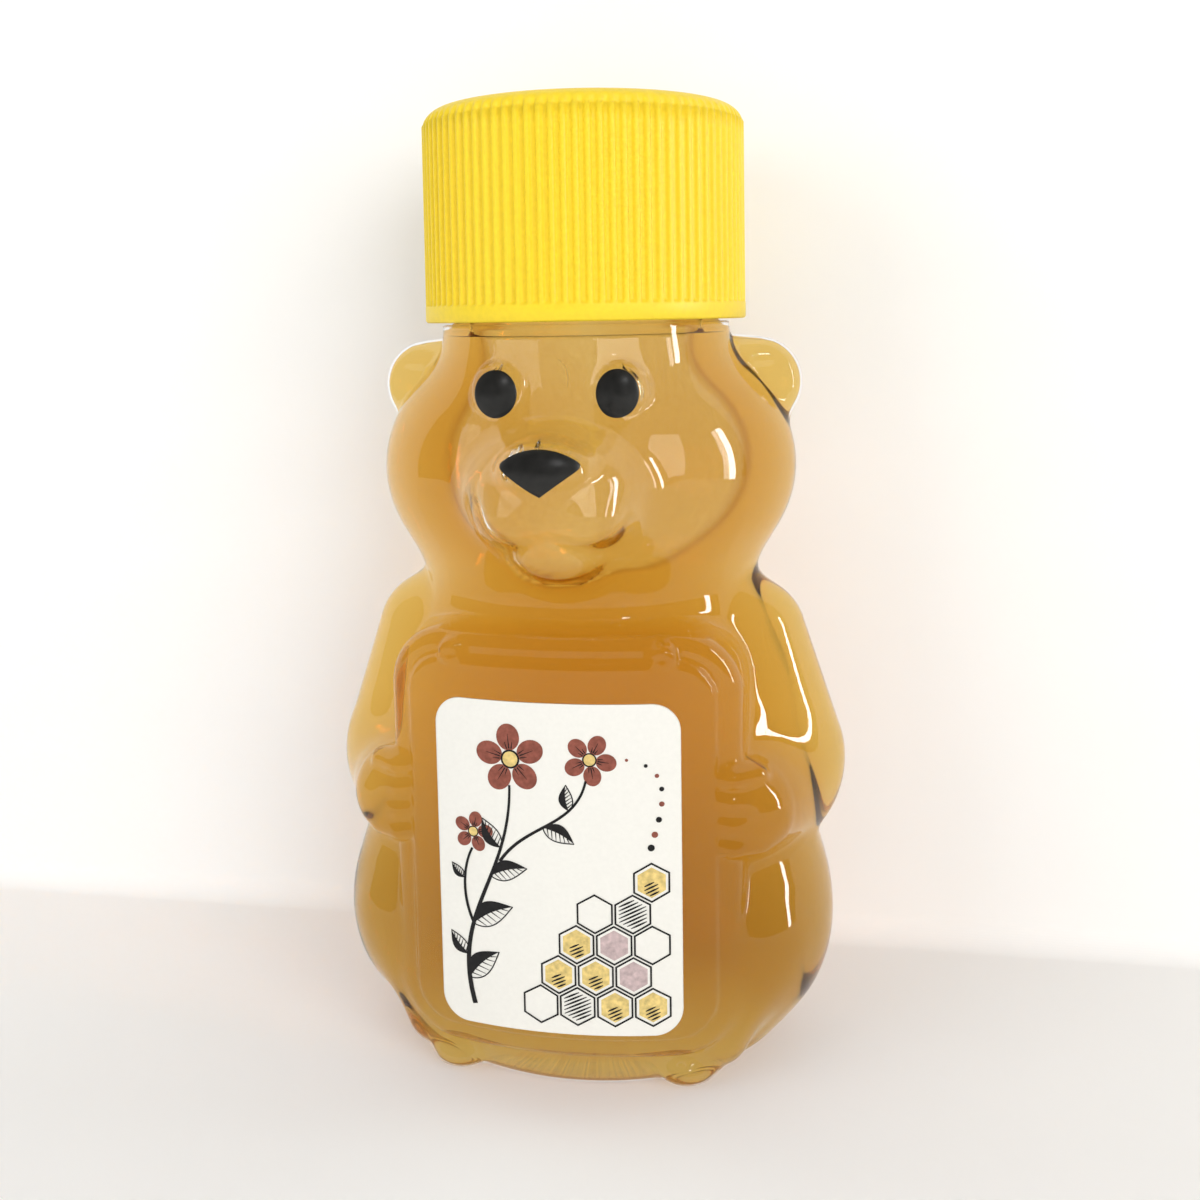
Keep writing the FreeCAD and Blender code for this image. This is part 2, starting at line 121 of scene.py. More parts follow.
# Rounded lumps: centre, half sizes and blend radius; the honey has a slightly smaller ear of its own
LUMPS = {
    "head": ((0.0, 0.6, 47.6), (17.2, 14.8, 12.6), 2.8),
    "ear": ((14.0, 1.2, 54.3), (3.7, 2.6, 3.7), 1.2),
    "ear_dish": ((14.6, -2.2, 54.4), (2.2, 2.0, 2.3), 0.8),
    "honey_ear": ((14.0, 1.2, 54.3), (3.6, 2.6, 3.6), 1.2),
    "muzzle": ((0.0, -11.2, 47.0), (7.4, 7.6, 5.4), 2.0),
    "lip": ((2.5, -14.9, 45.4), (3.1, 3.5, 2.7), 1.2),
    "chin": ((0.0, -12.6, 42.4), (4.0, 3.8, 3.0), 1.6),
    "nose": ((0.0, -17.2, 49.0), (3.6, 2.6, 2.3), 0.8),
    "eye": ((4.6, -11.0, 54.2), (2.3, 2.2, 2.5), 0.5),
    "thigh": ((13.5, -2.6, 11.2), (6.8, 9.4, 9.2), 1.8),
    "foot": ((9.0, -10.4, 1.5), (2.6, 3.0, 1.6), 0.8),
    "button": ((8.0, -14.7, 35.0), (1.1, 1.0, 1.1), 0.2),
    "button_dish": ((8.0, -15.9, 35.0), (0.6, 0.5, 0.6), 0.2),
}
FACE_LUMPS = ("muzzle", "lip", "chin", "nose", "eye")
HEAD_HALF_DEPTH = LUMPS["head"][1][1]

# Limbs: two ends, their radii and the blend radius
LIMBS = {
    "upper_arm": ((13.3, -1.2, 33.6), (15.8, -1.2, 24.4), 4.8, 5.3, 2.4),
    "fore_arm": ((15.4, -3.0, 22.0), (13.6, -9.8, 22.4), 5.0, 4.0, 1.6),
    "shin": ((13.9, -8.4, 11.6), (11.2, -10.0, 4.0), 3.6, 2.7, 1.6),
    "cleft": ((0.0, -19.6, 47.2), (0.0, -19.2, 44.4), 0.45, 0.45, 0.5),
}
ARM_REACH = THROAT + LIMBS["upper_arm"][2]
FINGERS = 4
FINGER_LOWEST = 20.3
FINGER_STEP = 1.75
FINGER_ROOT = (14.6, -12.0)
FINGER_END = (12.9, -13.4)
FINGER_RADII = (0.95, 0.85)
FINGER_BLEND = 0.6


def join(a, b, blend):
    """Smooth union of two distances."""
    share = np.clip(0.5 + 0.5 * (b - a) / blend, 0.0, 1.0)
    return b + (a - b) * share - blend * share * (1.0 - share)


def meet(a, b, blend):
    """Smooth intersection of two distances."""
    return -join(-a, -b, blend)


def lump_distance(x, y, z, lump):
    centre, half = lump[:2]
    ux = (x - centre[0]) / half[0]
    uy = (y - centre[1]) / half[1]
    uz = (z - centre[2]) / half[2]
    near = np.sqrt(ux * ux + uy * uy + uz * uz)
    slope = np.sqrt((ux / half[0]) ** 2 + (uy / half[1]) ** 2 + (uz / half[2]) ** 2) + TINY
    return near * (near - 1.0) / slope


def limb_distance(x, y, z, limb):
    start, end, start_radius, end_radius = limb[:4]
    way = [e - s for s, e in zip(start, end)]
    span = sum(w * w for w in way)
    along = ((x - start[0]) * way[0] + (y - start[1]) * way[1] + (z - start[2]) * way[2]) / span
    along = np.clip(along, 0.0, 1.0)
    ex = x - start[0] - along * way[0]
    ey = y - start[1] - along * way[1]
    ez = z - start[2] - along * way[2]
    return np.sqrt(ex * ex + ey * ey + ez * ez) - (start_radius + along * (end_radius - start_radius))


def station_value(z, column):
    """A torso size at these heights: a cubic through the stations that does not overshoot."""
    levels = np.array([station[0] for station in STATIONS])
    values = np.array([station[column] for station in STATIONS])
    steps = np.diff(levels)
    rates = np.diff(values) / steps
    product = rates[:-1] * rates[1:]
    slopes = np.empty(len(levels))
    slopes[0] = rates[0]
    slopes[-1] = rates[-1]
    slopes[1:-1] = np.where(product > 0.0, 2.0 * product / (rates[:-1] + rates[1:] + TINY), 0.0)
    z = np.clip(z, levels[0], levels[-1])
    i = np.clip(np.searchsorted(levels, z) - 1, 0, len(levels) - 2)
    t = (z - levels[i]) / steps[i]
    s = 1.0 - t
    value = (1.0 + 2.0 * t) * s * s * values[i] + t * t * (3.0 - 2.0 * t) * values[i + 1]
    return value + steps[i] * t * s * (s * slopes[i] - t * slopes[i + 1])


def torso_distance(x, y, z):
    half_width = station_value(z, 1)
    half_depth = station_value(z, 2)
    section = np.hypot(x / half_width, y / half_depth) - 1.0
    return meet(section * np.minimum(half_width, half_depth), z - THROAT - CROWN_RISE, CROWN_BLEND)


def panel_layer(x, y, z, border, front, blend):
    """A rounded slab with a gently bowed face; its outline is drawn in by the border."""
    round_off = PANEL_CORNER - border
    side = np.abs(x) - PANEL_HALF_WIDTH + border + round_off
    rise = np.abs(z - PANEL_HEIGHT) - PANEL_HALF_HEIGHT + border + round_off
    outline = np.hypot(np.maximum(side, 0.0), np.maximum(rise, 0.0))
    outline = outline + np.minimum(np.maximum(side, rise), 0.0) - round_off
    face = np.hypot(x, y + front - PANEL_FACE_RADIUS) - PANEL_FACE_RADIUS
    return meet(outline, face, blend)


def panel_distance(x, y, z):
    low = panel_layer(x, y, z, 0.0, PANEL_FRONT - PANEL_STEP, PANEL_EDGE_BLEND)
    high = panel_layer(x, y, z, PANEL_BORDER, PANEL_FRONT, PANEL_STEP_BLEND)
    return np.maximum(np.minimum(low, high), y + PANEL_BACK)


def with_lump(form, place, name):
    return join(form, lump_distance(*place, LUMPS[name]), LUMPS[name][2])


def dished_lump(place, name, dish):
    return meet(lump_distance(*place, LUMPS[name]), -lump_distance(*place, LUMPS[dish]), LUMPS[dish][2])


def with_head(form, place, ear):
    x, y, z = place
    form = with_lump(form, place, "head")
    neck_root = np.hypot(x, y) - NECK_ROOT_RADIUS
    root_foot = SHOULDER_HEIGHT - NECK_ROOT_DEPTH - z
    form = join(form, meet(neck_root, root_foot, NECK_ROOT_EDGE), NECK_ROOT_BLEND)
    form = join(form, dished_lump(place, ear, "ear_dish"), LUMPS[ear][2])
    for name in FACE_LUMPS:
        form = with_lump(form, place, name)
    return meet(form, -limb_distance(*place, LIMBS["cleft"]), LIMBS["cleft"][4])


def with_limbs(form, place):
    arm = limb_distance(*place, LIMBS["upper_arm"])
    arm = join(arm, limb_distance(*place, LIMBS["fore_arm"]), LIMBS["upper_arm"][4])
    form = join(form, arm, LIMBS["fore_arm"][4])
    for index in range(FINGERS):
        level = FINGER_LOWEST + FINGER_STEP * index
        finger = ((*FINGER_ROOT, level), (*FINGER_END, level), *FINGER_RADII)
        form = join(form, limb_distance(*place, finger), FINGER_BLEND)
    form = with_lump(form, place, "thigh")
    form = join(form, limb_distance(*place, LIMBS["shin"]), LIMBS["shin"][4])
    form = with_lump(form, place, "foot")
    form = join(form, panel_distance(*place), PANEL_ROOT_BLEND)
    form = join(form, dished_lump(place, "button", "button_dish"), LUMPS["button"][2])
    return meet(form, -place[2] - BASE_EDGE_CUT, BASE_EDGE_BLEND)


def form_distance(x, y, z, ear="ear"):
    """Signed distance to the moulded skin, for a block of points that share a range of heights."""
    place = (np.abs(x), y, z)
    form = torso_distance(*place)
    if z.max() > SHOULDER_LINE:
        form = np.where(z > SHOULDER_LINE, with_head(form, place, ear), form)
    if z.min() < ARM_REACH:
        form = np.where(z < ARM_REACH, with_limbs(form, place), form)
    return form


# Tracing of the skin along rays from outside
START_RADIUS = 30.0
LEAST_RADIUS = 0.01
STEP_SHARE = 0.8
LONGEST_STEP = 3.0
LONGEST_STEP_BACK = 1.0
WALK_STEPS = 42
BLOCK_ROWS = 24


def walk(distance):
    """How far to move towards the skin at this distance from it."""
    return STEP_SHARE * np.clip(distance, -LONGEST_STEP_BACK, LONGEST_STEP)


def skin_radius(turns, heights, offset, ear):
    """Radius of the skin, moved out by offset, on level rays: one row per height."""
    across = np.sin(turns)[None, :]
    along = -np.cos(turns)[None, :]
    rows = []
    for start in range(0, len(heights), BLOCK_ROWS):
        z = np.asarray(heights[start:start + BLOCK_ROWS])[:, None] * np.ones_like(across)
        radius = np.full(z.shape, START_RADIUS)
        for step in range(WALK_STEPS):
            distance = form_distance(radius * across, radius * along, z, ear) - offset
            radius = np.maximum(radius - walk(distance), LEAST_RADIUS)
        rows.append(radius)
    return np.vstack(rows)


def mirrored_radius(columns, heights, offset, ear="ear"):
    """Skin radius all round, worked out on one half because both halves are alike."""
    half = columns // 2
    turns = np.arange(half + 1) * (math.pi / half)
    radius = skin_radius(turns, heights, offset, ear)
    return np.hstack([radius, radius[:, -2:0:-1]])


def skin_front(x, z, offset):
    """Y of the skin, moved out by offset, seen from the front."""
    y = np.full(x.shape, -START_RADIUS)
    for step in range(WALK_STEPS):
        y = y + walk(form_distance(x, y, z) - offset)
    return y


# Mesh helpers
def add_mesh(name, points, faces, material):
    mesh = bpy.data.meshes.new(name)
    mesh.from_pydata([tuple(point) for point in np.asarray(points) * MM], [], faces)
    mesh.materials.append(material)
    thing = bpy.data.objects.new(name, mesh)
    bpy.context.scene.collection.objects.link(thing)
    return thing


def add_piece(name, points, faces, material, body, node=None):
    """A smooth-shaded piece that rides on a body and may replace a node of the solids."""
    piece = add_mesh(name, points, faces, material)
    piece.data.polygons.foreach_set("use_smooth", [True] * len(piece.data.polygons))
    piece.data.update()
    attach(piece, body)
    if node:
        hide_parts(node)
    return piece


def grid_faces(rows, columns, close_rows=False, close_columns=True, first=0):
    """Quads between neighbouring rows of points; rows and columns may close on themselves."""
    faces = []
    for row in range(rows if close_rows else rows - 1):
        low = first + row * columns
        high = first + (row + 1) % rows * columns
        for column in range(columns if close_columns else columns - 1):
            after = (column + 1) % columns
            faces.append((low + column, low + after, high + after, high + column))
    return faces


def rings_with_ends(rings):
    """Points and faces of stacked rings, closed at both ends by a point on the axis."""
    count = rings.shape[1]
    faces = grid_faces(len(rings), count)
    first_centre = len(rings) * count
    centres = [(0.0, 0.0, rings[0, 0, 2]), (0.0, 0.0, rings[-1, 0, 2])]
    points = np.vstack([rings.reshape(-1, 3), centres])
    top = first_centre - count
    for column in range(count):
        after = (column + 1) % count
        faces.append((after, column, first_centre))
        faces.append((top + column, top + after, first_centre + 1))
    return points, faces


def polar_rings(radius, turns, heights):
    z = np.asarray(heights)[:, None] * np.ones_like(radius)
    return np.stack([radius * np.sin(turns), -radius * np.cos(turns), z], axis=-1)


def circle_rings(profile, turns):
    """Rings of plain circles from (radius, height) pairs."""
    radius, heights = np.array(profile).T
    return polar_rings(radius[:, None] * np.ones_like(turns)[None, :], turns, heights)


def full_turn(count):
    return np.arange(count) * (2.0 * math.pi / count)


# Material helpers
WHITE = (1.0, 1.0, 1.0, 1.0)
MOTTLE_STOPS = (0.3, 0.7)


def set_sockets(node, values):
    """Sets sockets by name; underscores stand for the spaces in a socket's name."""
    for socket, value in values.items():
        node.inputs[socket.replace("_", " ")].default_value = value


def add_node(tree, kind, **values):
    node = tree.nodes.new("ShaderNode" + kind)
    set_sockets(node, values)
    return node


def new_material(name, **values):
    material = bpy.data.materials.new(name)
    material.use_nodes = True
    tree = material.node_tree
    shader = tree.nodes["Principled BSDF"]
    set_sockets(shader, values)
    return material, tree, shader


def add_bump(tree, shader, scale, strength, distance, detail=3.0):
    """Bumps the shader's skin with a noise, which is returned for other uses."""
    coordinates = add_node(tree, "TexCoord")
    noise = add_node(tree, "TexNoise", Scale=scale, Detail=detail)
    bump = add_node(tree, "Bump", Strength=strength, Distance=distance)
    tree.links.new(coordinates.outputs["Object"], noise.inputs["Vector"])
    tree.links.new(noise.outputs["Fac"], bump.inputs["Height"])
    tree.links.new(bump.outputs["Normal"], shader.inputs["Normal"])
    return noise


def vary_roughness(tree, shader, noise, low, high):
    spread = add_node(tree, "MapRange", To_Min=low, To_Max=high)
    tree.links.new(noise.outputs["Fac"], spread.inputs["Value"])
    tree.links.new(spread.outputs["Result"], shader.inputs["Roughness"])


def vary_colour(tree, shader, noise, colour, low, high):
    """Colour drifting between a darker and a lighter share of itself."""
    ramp = add_node(tree, "ValToRGB")
    for stop, share, place in zip(ramp.color_ramp.elements, (low, high), MOTTLE_STOPS):
        stop.position = place
        stop.color = [min(1.0, share * part) for part in colour] + [1.0]
    tree.links.new(noise.outputs["Fac"], ramp.inputs["Fac"])
    tree.links.new(ramp.outputs["Color"], shader.inputs["Base Color"])


def mottled_material(name, colour, bump, shares, roughness, **values):
    """An opaque material whose bumps, roughness and colour follow one noise."""
    material, tree, shader = new_material(name, **values)
    noise = add_bump(tree, shader, **bump)
    vary_roughness(tree, shader, noise, *roughness)
    vary_colour(tree, shader, noise, colour, *shares)
    return material


def clear_material(name, bump, roughness, colour=WHITE, **values):
    """A see-through material; a ramp linked to its base colour takes the plain colour's place."""
    material, tree, shader = new_material(name, Base_Color=colour, Transmission_Weight=1.0, **values)
    noise = add_bump(tree, shader, **bump)
    vary_roughness(tree, shader, noise, *roughness)
    return material, tree, shader


# Clear plastic: refraction is set far below the real index, and the coat gives the gloss
PET_REFRACTION = 1.02
DRY_REFRACTION = 1.09
WETTED_REFRACTION = 1.001
WETTED_ALPHA = 0.04
COAT_REFRACTION = 1.5
FILM_SCALE = 150.0
FILM_DISTORTION = 1.6
FILM_TINT = (0.93, 0.88, 0.80)
FILM_SHARES = (1.0, 1.25)


def pet_material():
    bump = {"scale": 130.0, "strength": 0.1, "distance": 0.0005, "detail": 1.0}
    return clear_material("clear_pet", bump, roughness=(0.0, 0.03), IOR=PET_REFRACTION, Coat_Weight=0.7,
                          Coat_IOR=COAT_REFRACTION, Coat_Roughness=0.03)[0]


def wetted_material():
    """Inner wall under honey, which hardly shows."""
    bump = {"scale": 130.0, "strength": 0.05, "distance": 0.0002, "detail": 1.0}
    return clear_material("wetted_pet", bump, roughness=(0.0, 0.01), IOR=WETTED_REFRACTION,
                          Alpha=WETTED_ALPHA)[0]


def dry_material():
    """Wall over the air pocket, with a thin uneven film of honey left on it."""
    bump = {"scale": 170.0, "strength": 0.22, "distance": 0.0006, "detail": 1.5}
    material, tree, shader = clear_material(
        "dry_pet", bump, roughness=(0.0, 0.02), IOR=DRY_REFRACTION, Coat_Weight=0.6,
        Coat_IOR=COAT_REFRACTION, Coat_Roughness=0.02)
    film = add_node(tree, "TexNoise", Scale=FILM_SCALE, Detail=1.0, Distortion=FILM_DISTORTION)
    vary_colour(tree, shader, film, FILM_TINT, *FILM_SHARES)
    return material


# Honey colours: the skin is tinted and the depth absorbs
FREE_MARK = "free_surface"
HONEY_REFRACTION = 1.025
HONEY_ABSORPTION = (0.835, 0.625, 0.055, 1.0)
HONEY_DENSITY = 97.0
HONEY_TINT = (0.84, 0.6, 0.19, 1.0)
# Painted shade: a darker tint of the skin in a band where the free surface meets the wall
POCKET_RIM_PAINTED_SHADE = (0.62, 0.4, 0.13, 1.0)
FREE_SURFACE_TINT = (1.0, 1.0, 0.94, 1.0)
POCKET_RIM_PLACE = 0.4
POCKET_RIM_WIDTH = 1.5
HONEY_BODY = (0.62, 0.33, 0.03, 1.0)
HONEY_CLOUD = 0.03


def honey_material():
    """Honey with tinted skin, painted shade as a darker rim round the air pocket, and a near-white free
    surface.
    """
    bump = {"scale": 60.0, "strength": 0.05, "distance": 0.0008, "detail": 1.0}
    material, tree, shader = clear_material(
        "honey", bump, roughness=(0.0, 0.02), colour=HONEY_TINT, IOR=HONEY_REFRACTION)
    mark = add_node(tree, "Attribute")
    mark.attribute_name = FREE_MARK
    tint = add_node(tree, "ValToRGB")
    tint.color_ramp.elements.new(POCKET_RIM_PLACE)
    tints = (HONEY_TINT, POCKET_RIM_PAINTED_SHADE, FREE_SURFACE_TINT)
    for stop, colour in zip(tint.color_ramp.elements, tints):
        stop.color = colour
    tree.links.new(mark.outputs["Fac"], tint.inputs["Fac"])
    tree.links.new(tint.outputs["Color"], shader.inputs["Base Color"])
    cloud = add_node(tree, "BsdfDiffuse", Color=HONEY_BODY)
    cloudy = add_node(tree, "MixShader", Fac=HONEY_CLOUD)
    tree.links.new(shader.outputs["BSDF"], cloudy.inputs[1])
    tree.links.new(cloud.outputs["BSDF"], cloudy.inputs[2])
    absorption = add_node(tree, "VolumeAbsorption", Color=HONEY_ABSORPTION, Density=HONEY_DENSITY)
    output = tree.nodes["Material Output"]
    tree.links.new(cloudy.outputs["Shader"], output.inputs["Surface"])
    tree.links.new(absorption.outputs["Volume"], output.inputs["Volume"])
    return material


# Opaque materials
CAP_COLOUR = (0.95, 0.70, 0.03)
INK_COLOUR = (0.013, 0.0125, 0.0115)
LABEL_COLOUR = (0.86, 0.85, 0.80)
LINER_COLOUR = (0.9, 0.89, 0.86)
PRINT_COLOURS = {
    "mauve": (0.56, 0.44, 0.44),
    "yellow": (0.76, 0.58, 0.22),
    "red": (0.27, 0.085, 0.06),
    "dark": (0.014, 0.0135, 0.0145),
}


def cap_material():
    bump = {"scale": 2600.0, "strength": 0.06, "distance": 0.00008}
    return mottled_material("cap_yellow", CAP_COLOUR, bump, shares=(0.96, 1.03), roughness=(0.36, 0.5),
                            IOR=1.45)


def ink_material():
    bump = {"scale": 1800.0, "strength": 0.08, "distance": 0.0001}
    return mottled_material("black_ink", INK_COLOUR, bump, shares=(0.8, 1.2), roughness=(0.28, 0.45),
                            Specular_IOR_Level=0.35)


def label_material():
    bump = {"scale": 3000.0, "strength": 0.05, "distance": 0.00005}
    return mottled_material("label_paper", LABEL_COLOUR, bump, shares=(0.985, 1.015),
                            roughness=(0.42, 0.58))


def print_material(name):
    bump = {"scale": 2400.0, "strength": 0.05, "distance": 0.00004}
    return mottled_material("print_" + name, PRINT_COLOURS[name], bump, shares=(0.75, 1.2),
                            roughness=(0.4, 0.55), Specular_IOR_Level=0.2)


def liner_material():
    bump = {"scale": 4000.0, "strength": 0.3, "distance": 0.0001}
    return mottled_material("liner_foam", LINER_COLOUR, bump, shares=(0.95, 1.03), roughness=(0.7, 0.9))


# Air pocket at the face: its place, its hollow and the rim of honey drawn up at the wall
POCKET_SETBACK = 7.4
POCKET_SLOPE = 0.2
POCKET_TURN = math.radians(10.5)
POCKET_FLOOR = 41.0
POCKET_CLOSING = 2.4
POCKET_BOWL = 7.0
POCKET_BOWL_REACH = 3.0
POCKET_BACK = 0.8
LEAST_FACING = 0.05
MENISCUS_RISE = 1.1
MENISCUS_REACH = 0.8


def pocket_facing(turns):
    """Cosine of the angle from the pocket's middle, kept above zero."""
    return np.maximum(np.cos(turns - POCKET_TURN), LEAST_FACING)


def pocket_level(turns, heights):
    """Radius of the undisturbed free surface on level rays, far out where there is none."""
    below = np.clip((POCKET_FLOOR - heights) / POCKET_CLOSING, 0.0, 1.0)
    setback = POCKET_SETBACK + POCKET_SLOPE * (SHOULDER_HEIGHT - heights) + HEAD_HALF_DEPTH * below ** 2
    return np.minimum(setback[:, None] / pocket_facing(turns)[None, :], START_RADIUS)


def honey_surface(wall_radius, turns, heights):
    """The free surface: hollow in the middle and drawn up in a rim where it meets the wall."""
    level = pocket_level(turns, heights)
    gap = np.maximum(wall_radius - level, 0.0)
    sunk = POCKET_BOWL * (1.0 - np.exp(-(gap / POCKET_BOWL_REACH) ** 2))
    hollow = np.maximum(level - sunk, POCKET_BACK / pocket_facing(turns))
    return hollow + MENISCUS_RISE * np.exp(-gap / MENISCUS_REACH)


# The moulded bottle: skin, neck finish and inner wall in one closed mesh
BOTTLE_COLUMNS = 420
SKIN_ROW = 0.2
INNER_ROW = 0.36
FIRST_ROWS = (0.0, 0.03, 0.08, 0.16, 0.28, 0.45, 0.66, 0.92, 1.2)
SHINING, WETTED, DRY = range(3)


def row_heights(low, high, step):
    """Heights that lie close together at the foot and then evenly, about a step apart."""
    heights = [low + rise for rise in FIRST_ROWS]
    start = heights[-1]
    count = int(round((high - start) / step))
    heights += [start + (high - start) * index / count for index in range(1, count + 1)]
    return np.array(heights)


def neck_rings(turns):
    """Neck finish from the shoulder up its outside, over the rim and down the bore."""
    lead_round = FINISH_LEAD_ROUND * FINISH_LEAD
    bore_foot = SHOULDER_HEIGHT - WALL
    return circle_rings([
        (NECK_ROOT_RADIUS - NECK_SOFT, NECK_LEDGE),
        (FINISH_RADIUS + NECK_SOFT, NECK_LEDGE),
        (FINISH_RADIUS, NECK_LEDGE + NECK_SOFT),
        (FINISH_RADIUS, RIM - FINISH_LEAD),
        (FINISH_RADIUS - lead_round, RIM - lead_round),
        (FINISH_RADIUS - FINISH_LEAD, RIM),
        (FINISH_BORE_RADIUS + NECK_SOFT, RIM),
        (FINISH_BORE_RADIUS, RIM - NECK_SOFT),
        (FINISH_BORE_RADIUS, bore_foot + NECK_SOFT),
        (FINISH_BORE_RADIUS + NECK_SOFT, bore_foot),
    ], turns)


def make_bottle(material, wetted, dry):
    """Faces over the air pocket are dry, and inner faces under honey are wetted."""
    turns = full_turn(BOTTLE_COLUMNS)
    skin_heights = row_heights(0.0, SHOULDER_HEIGHT, SKIN_ROW)
    inner_heights = row_heights(WALL, SHOULDER_HEIGHT - WALL, INNER_ROW)
    outer_radius = mirrored_radius(BOTTLE_COLUMNS, skin_heights, 0.0)
    inner_radius = mirrored_radius(BOTTLE_COLUMNS, inner_heights, -WALL)
    skin = polar_rings(outer_radius, turns, skin_heights)
    inner = polar_rings(inner_radius, turns, inner_heights)
    neck = neck_rings(turns)
    rings = np.concatenate([skin, neck, inner[::-1]])
    points, faces = rings_with_ends(rings)
    shell = add_piece("bear_shell", points, faces, material, "bottle", "bear_bottle")
    shell.data.materials.append(wetted)
    shell.data.materials.append(dry)
    under_skin = outer_radius - WALL
    skin_dry = honey_surface(under_skin, turns, skin_heights) < under_skin
    inner_dry = honey_surface(inner_radius, turns, inner_heights) < inner_radius
    kinds = np.full((len(rings) - 1, BOTTLE_COLUMNS), SHINING)
    kinds[:len(skin)] = np.where(skin_dry, DRY, SHINING)
    kinds[len(skin) + len(neck):] = np.where(inner_dry, DRY, WETTED)[:0:-1]
    ends = [SHINING, WETTED] * BOTTLE_COLUMNS
    shell.data.polygons.foreach_set("material_index", np.concatenate([kinds.ravel(), ends]))


# Honey: the cavity up into the neck, less the air pocket; it runs into the wall so that no gap shows
HONEY_COLUMNS = 360
HONEY_ROW = 0.26
HONEY_INSET = 0.12
HONEY_TOP = SHOULDER_HEIGHT + 3.0
POCKET_BLEND = 0.15
NECK_FLARE = 5.0


def make_honey(material):
    """The mark on its points grows from zero at the wall to one well inside the free surface."""
    turns = full_turn(HONEY_COLUMNS)
    heights = row_heights(HONEY_INSET, HONEY_TOP, HONEY_ROW)
    wall_radius = mirrored_radius(HONEY_COLUMNS, heights, -HONEY_INSET, "honey_ear")
    below_neck = np.maximum(SHOULDER_HEIGHT - HONEY_INSET - heights, 0.0)
    neck_radius = FINISH_RADIUS - HONEY_INSET + NECK_FLARE * below_neck
    wall_radius = np.minimum(wall_radius, neck_radius[:, None])
    radius = join(wall_radius, honey_surface(wall_radius, turns, heights), POCKET_BLEND)
    points, faces = rings_with_ends(polar_rings(radius, turns, heights))
    body = add_piece("honey_body", points, faces, material, "bottle", "honey_fill")
    freedom = np.clip((wall_radius - radius) / POCKET_RIM_WIDTH, 0.0, 1.0).ravel()
    end_points = np.zeros(len(points) - len(freedom))
    mark = body.data.attributes.new(FREE_MARK, "FLOAT", "POINT")
    mark.data.foreach_set("value", np.concatenate([freedom, end_points]))


# Screw cap: a plain band below, ribs above it that fade out over the rounded top edge
RIB_SAMPLES = 12
RIB_STEEPNESS = 0.9
RIB_FULLNESS = 0.8
RIB_ROWS = 10
RIB_DROP = 0.03
RIB_START = 0.3
RIB_START_MIDDLE = 0.12
RIB_START_SHARE = 0.75
RIB_TOP = CAP_TOP - 0.75 * CAP_EDGE_ROUND
RIB_FADE = 0.45 * CAP_EDGE_ROUND
CAP_EDGE_ROWS = 12
CAP_FOOT_LEAD = 0.2
CAP_FOOT_ROUND = 0.15
BAND_TOP = CAP_FOOT + CAP_BAND_HEIGHT
BAND_EDGE_HEIGHT = 0.08
BAND_EDGE_DROP = 0.02
CAP_TOP_RINGS = (0.8, 0.4)
CAP_HUB_RADIUS = 0.05
CEILING_RING = 0.5
CEILING_ROUND = 0.3
CEILING_ROUND_MIDDLE = 0.08


def rib_cut(turns):
    """Depth share of the grooves round the cap, from zero on a rib to one in a groove."""
    phase = np.cos(turns * RIB_COUNT)
    return np.clip(0.5 - RIB_STEEPNESS * phase, 0.0, 1.0) ** RIB_FULLNESS


def cap_profile():
    """Outside of the cap from the inner foot to the middle of the top: radius, height and groove share."""
    rib_radius = CAP_OUTSIDE - RIB_DROP
    rib_foot = BAND_TOP + RIB_START
    top_radius = CAP_OUTSIDE - CAP_DRAFT
    profile = [
        (CAP_INSIDE, CAP_FOOT + CAP_FOOT_LEAD, 0.0),
        (CAP_INSIDE + CAP_FOOT_LEAD, CAP_FOOT, 0.0),
        (CAP_OUTSIDE - CAP_FOOT_ROUND, CAP_FOOT, 0.0),
        (CAP_OUTSIDE, CAP_FOOT + CAP_FOOT_ROUND, 0.0),
        (CAP_OUTSIDE, BAND_TOP - BAND_EDGE_HEIGHT, 0.0),
        (CAP_OUTSIDE - BAND_EDGE_DROP, BAND_TOP, 0.0),
        (rib_radius, BAND_TOP + RIB_START_MIDDLE, RIB_START_SHARE),
        (rib_radius, rib_foot, 1.0),
    ]
    for step in range(1, RIB_ROWS + 1):
        share = step / RIB_ROWS
        profile.append((rib_radius + (top_radius - rib_radius) * share,
                        rib_foot + (RIB_TOP - rib_foot) * share, 1.0))
    for step in range(1, CAP_EDGE_ROWS + 1):
        angle = QUARTER_TURN * step / CAP_EDGE_ROWS
        height = CAP_TOP - CAP_EDGE_ROUND + CAP_EDGE_ROUND * math.sin(angle)
        if height > RIB_TOP:
            fade = max(0.0, 1.0 - (height - RIB_TOP) / RIB_FADE)
            profile.append((top_radius - CAP_EDGE_ROUND * (1.0 - math.cos(angle)), height, fade))
    profile += [(share * top_radius, CAP_TOP, 0.0) for share in CAP_TOP_RINGS]
    profile.append((CAP_HUB_RADIUS, CAP_TOP, 0.0))
    return profile


def make_cap(material):
    turns = full_turn(RIB_COUNT * RIB_SAMPLES)
    radius, heights, shares = np.array(cap_profile()).T
    outside = polar_rings(radius[:, None] - RIB_DEPTH * np.outer(shares, rib_cut(turns)), turns, heights)
    inside = circle_rings([
        (CAP_HUB_RADIUS, LINER_TOP),
        (CEILING_RING * CAP_INSIDE, LINER_TOP),
        (CAP_INSIDE - CEILING_ROUND, LINER_TOP),
        (CAP_INSIDE - CEILING_ROUND_MIDDLE, LINER_TOP - CEILING_ROUND_MIDDLE),
        (CAP_INSIDE, LINER_TOP - CEILING_ROUND),
        (CAP_INSIDE, 0.5 * (LINER_TOP + CAP_FOOT)),
    ], turns)
    rings = np.concatenate([outside, inside])
    faces = grid_faces(len(rings), len(turns), close_rows=True)
    add_piece("ribbed_cap", rings.reshape(-1, 3), faces, material, "cap", "screw_cap")


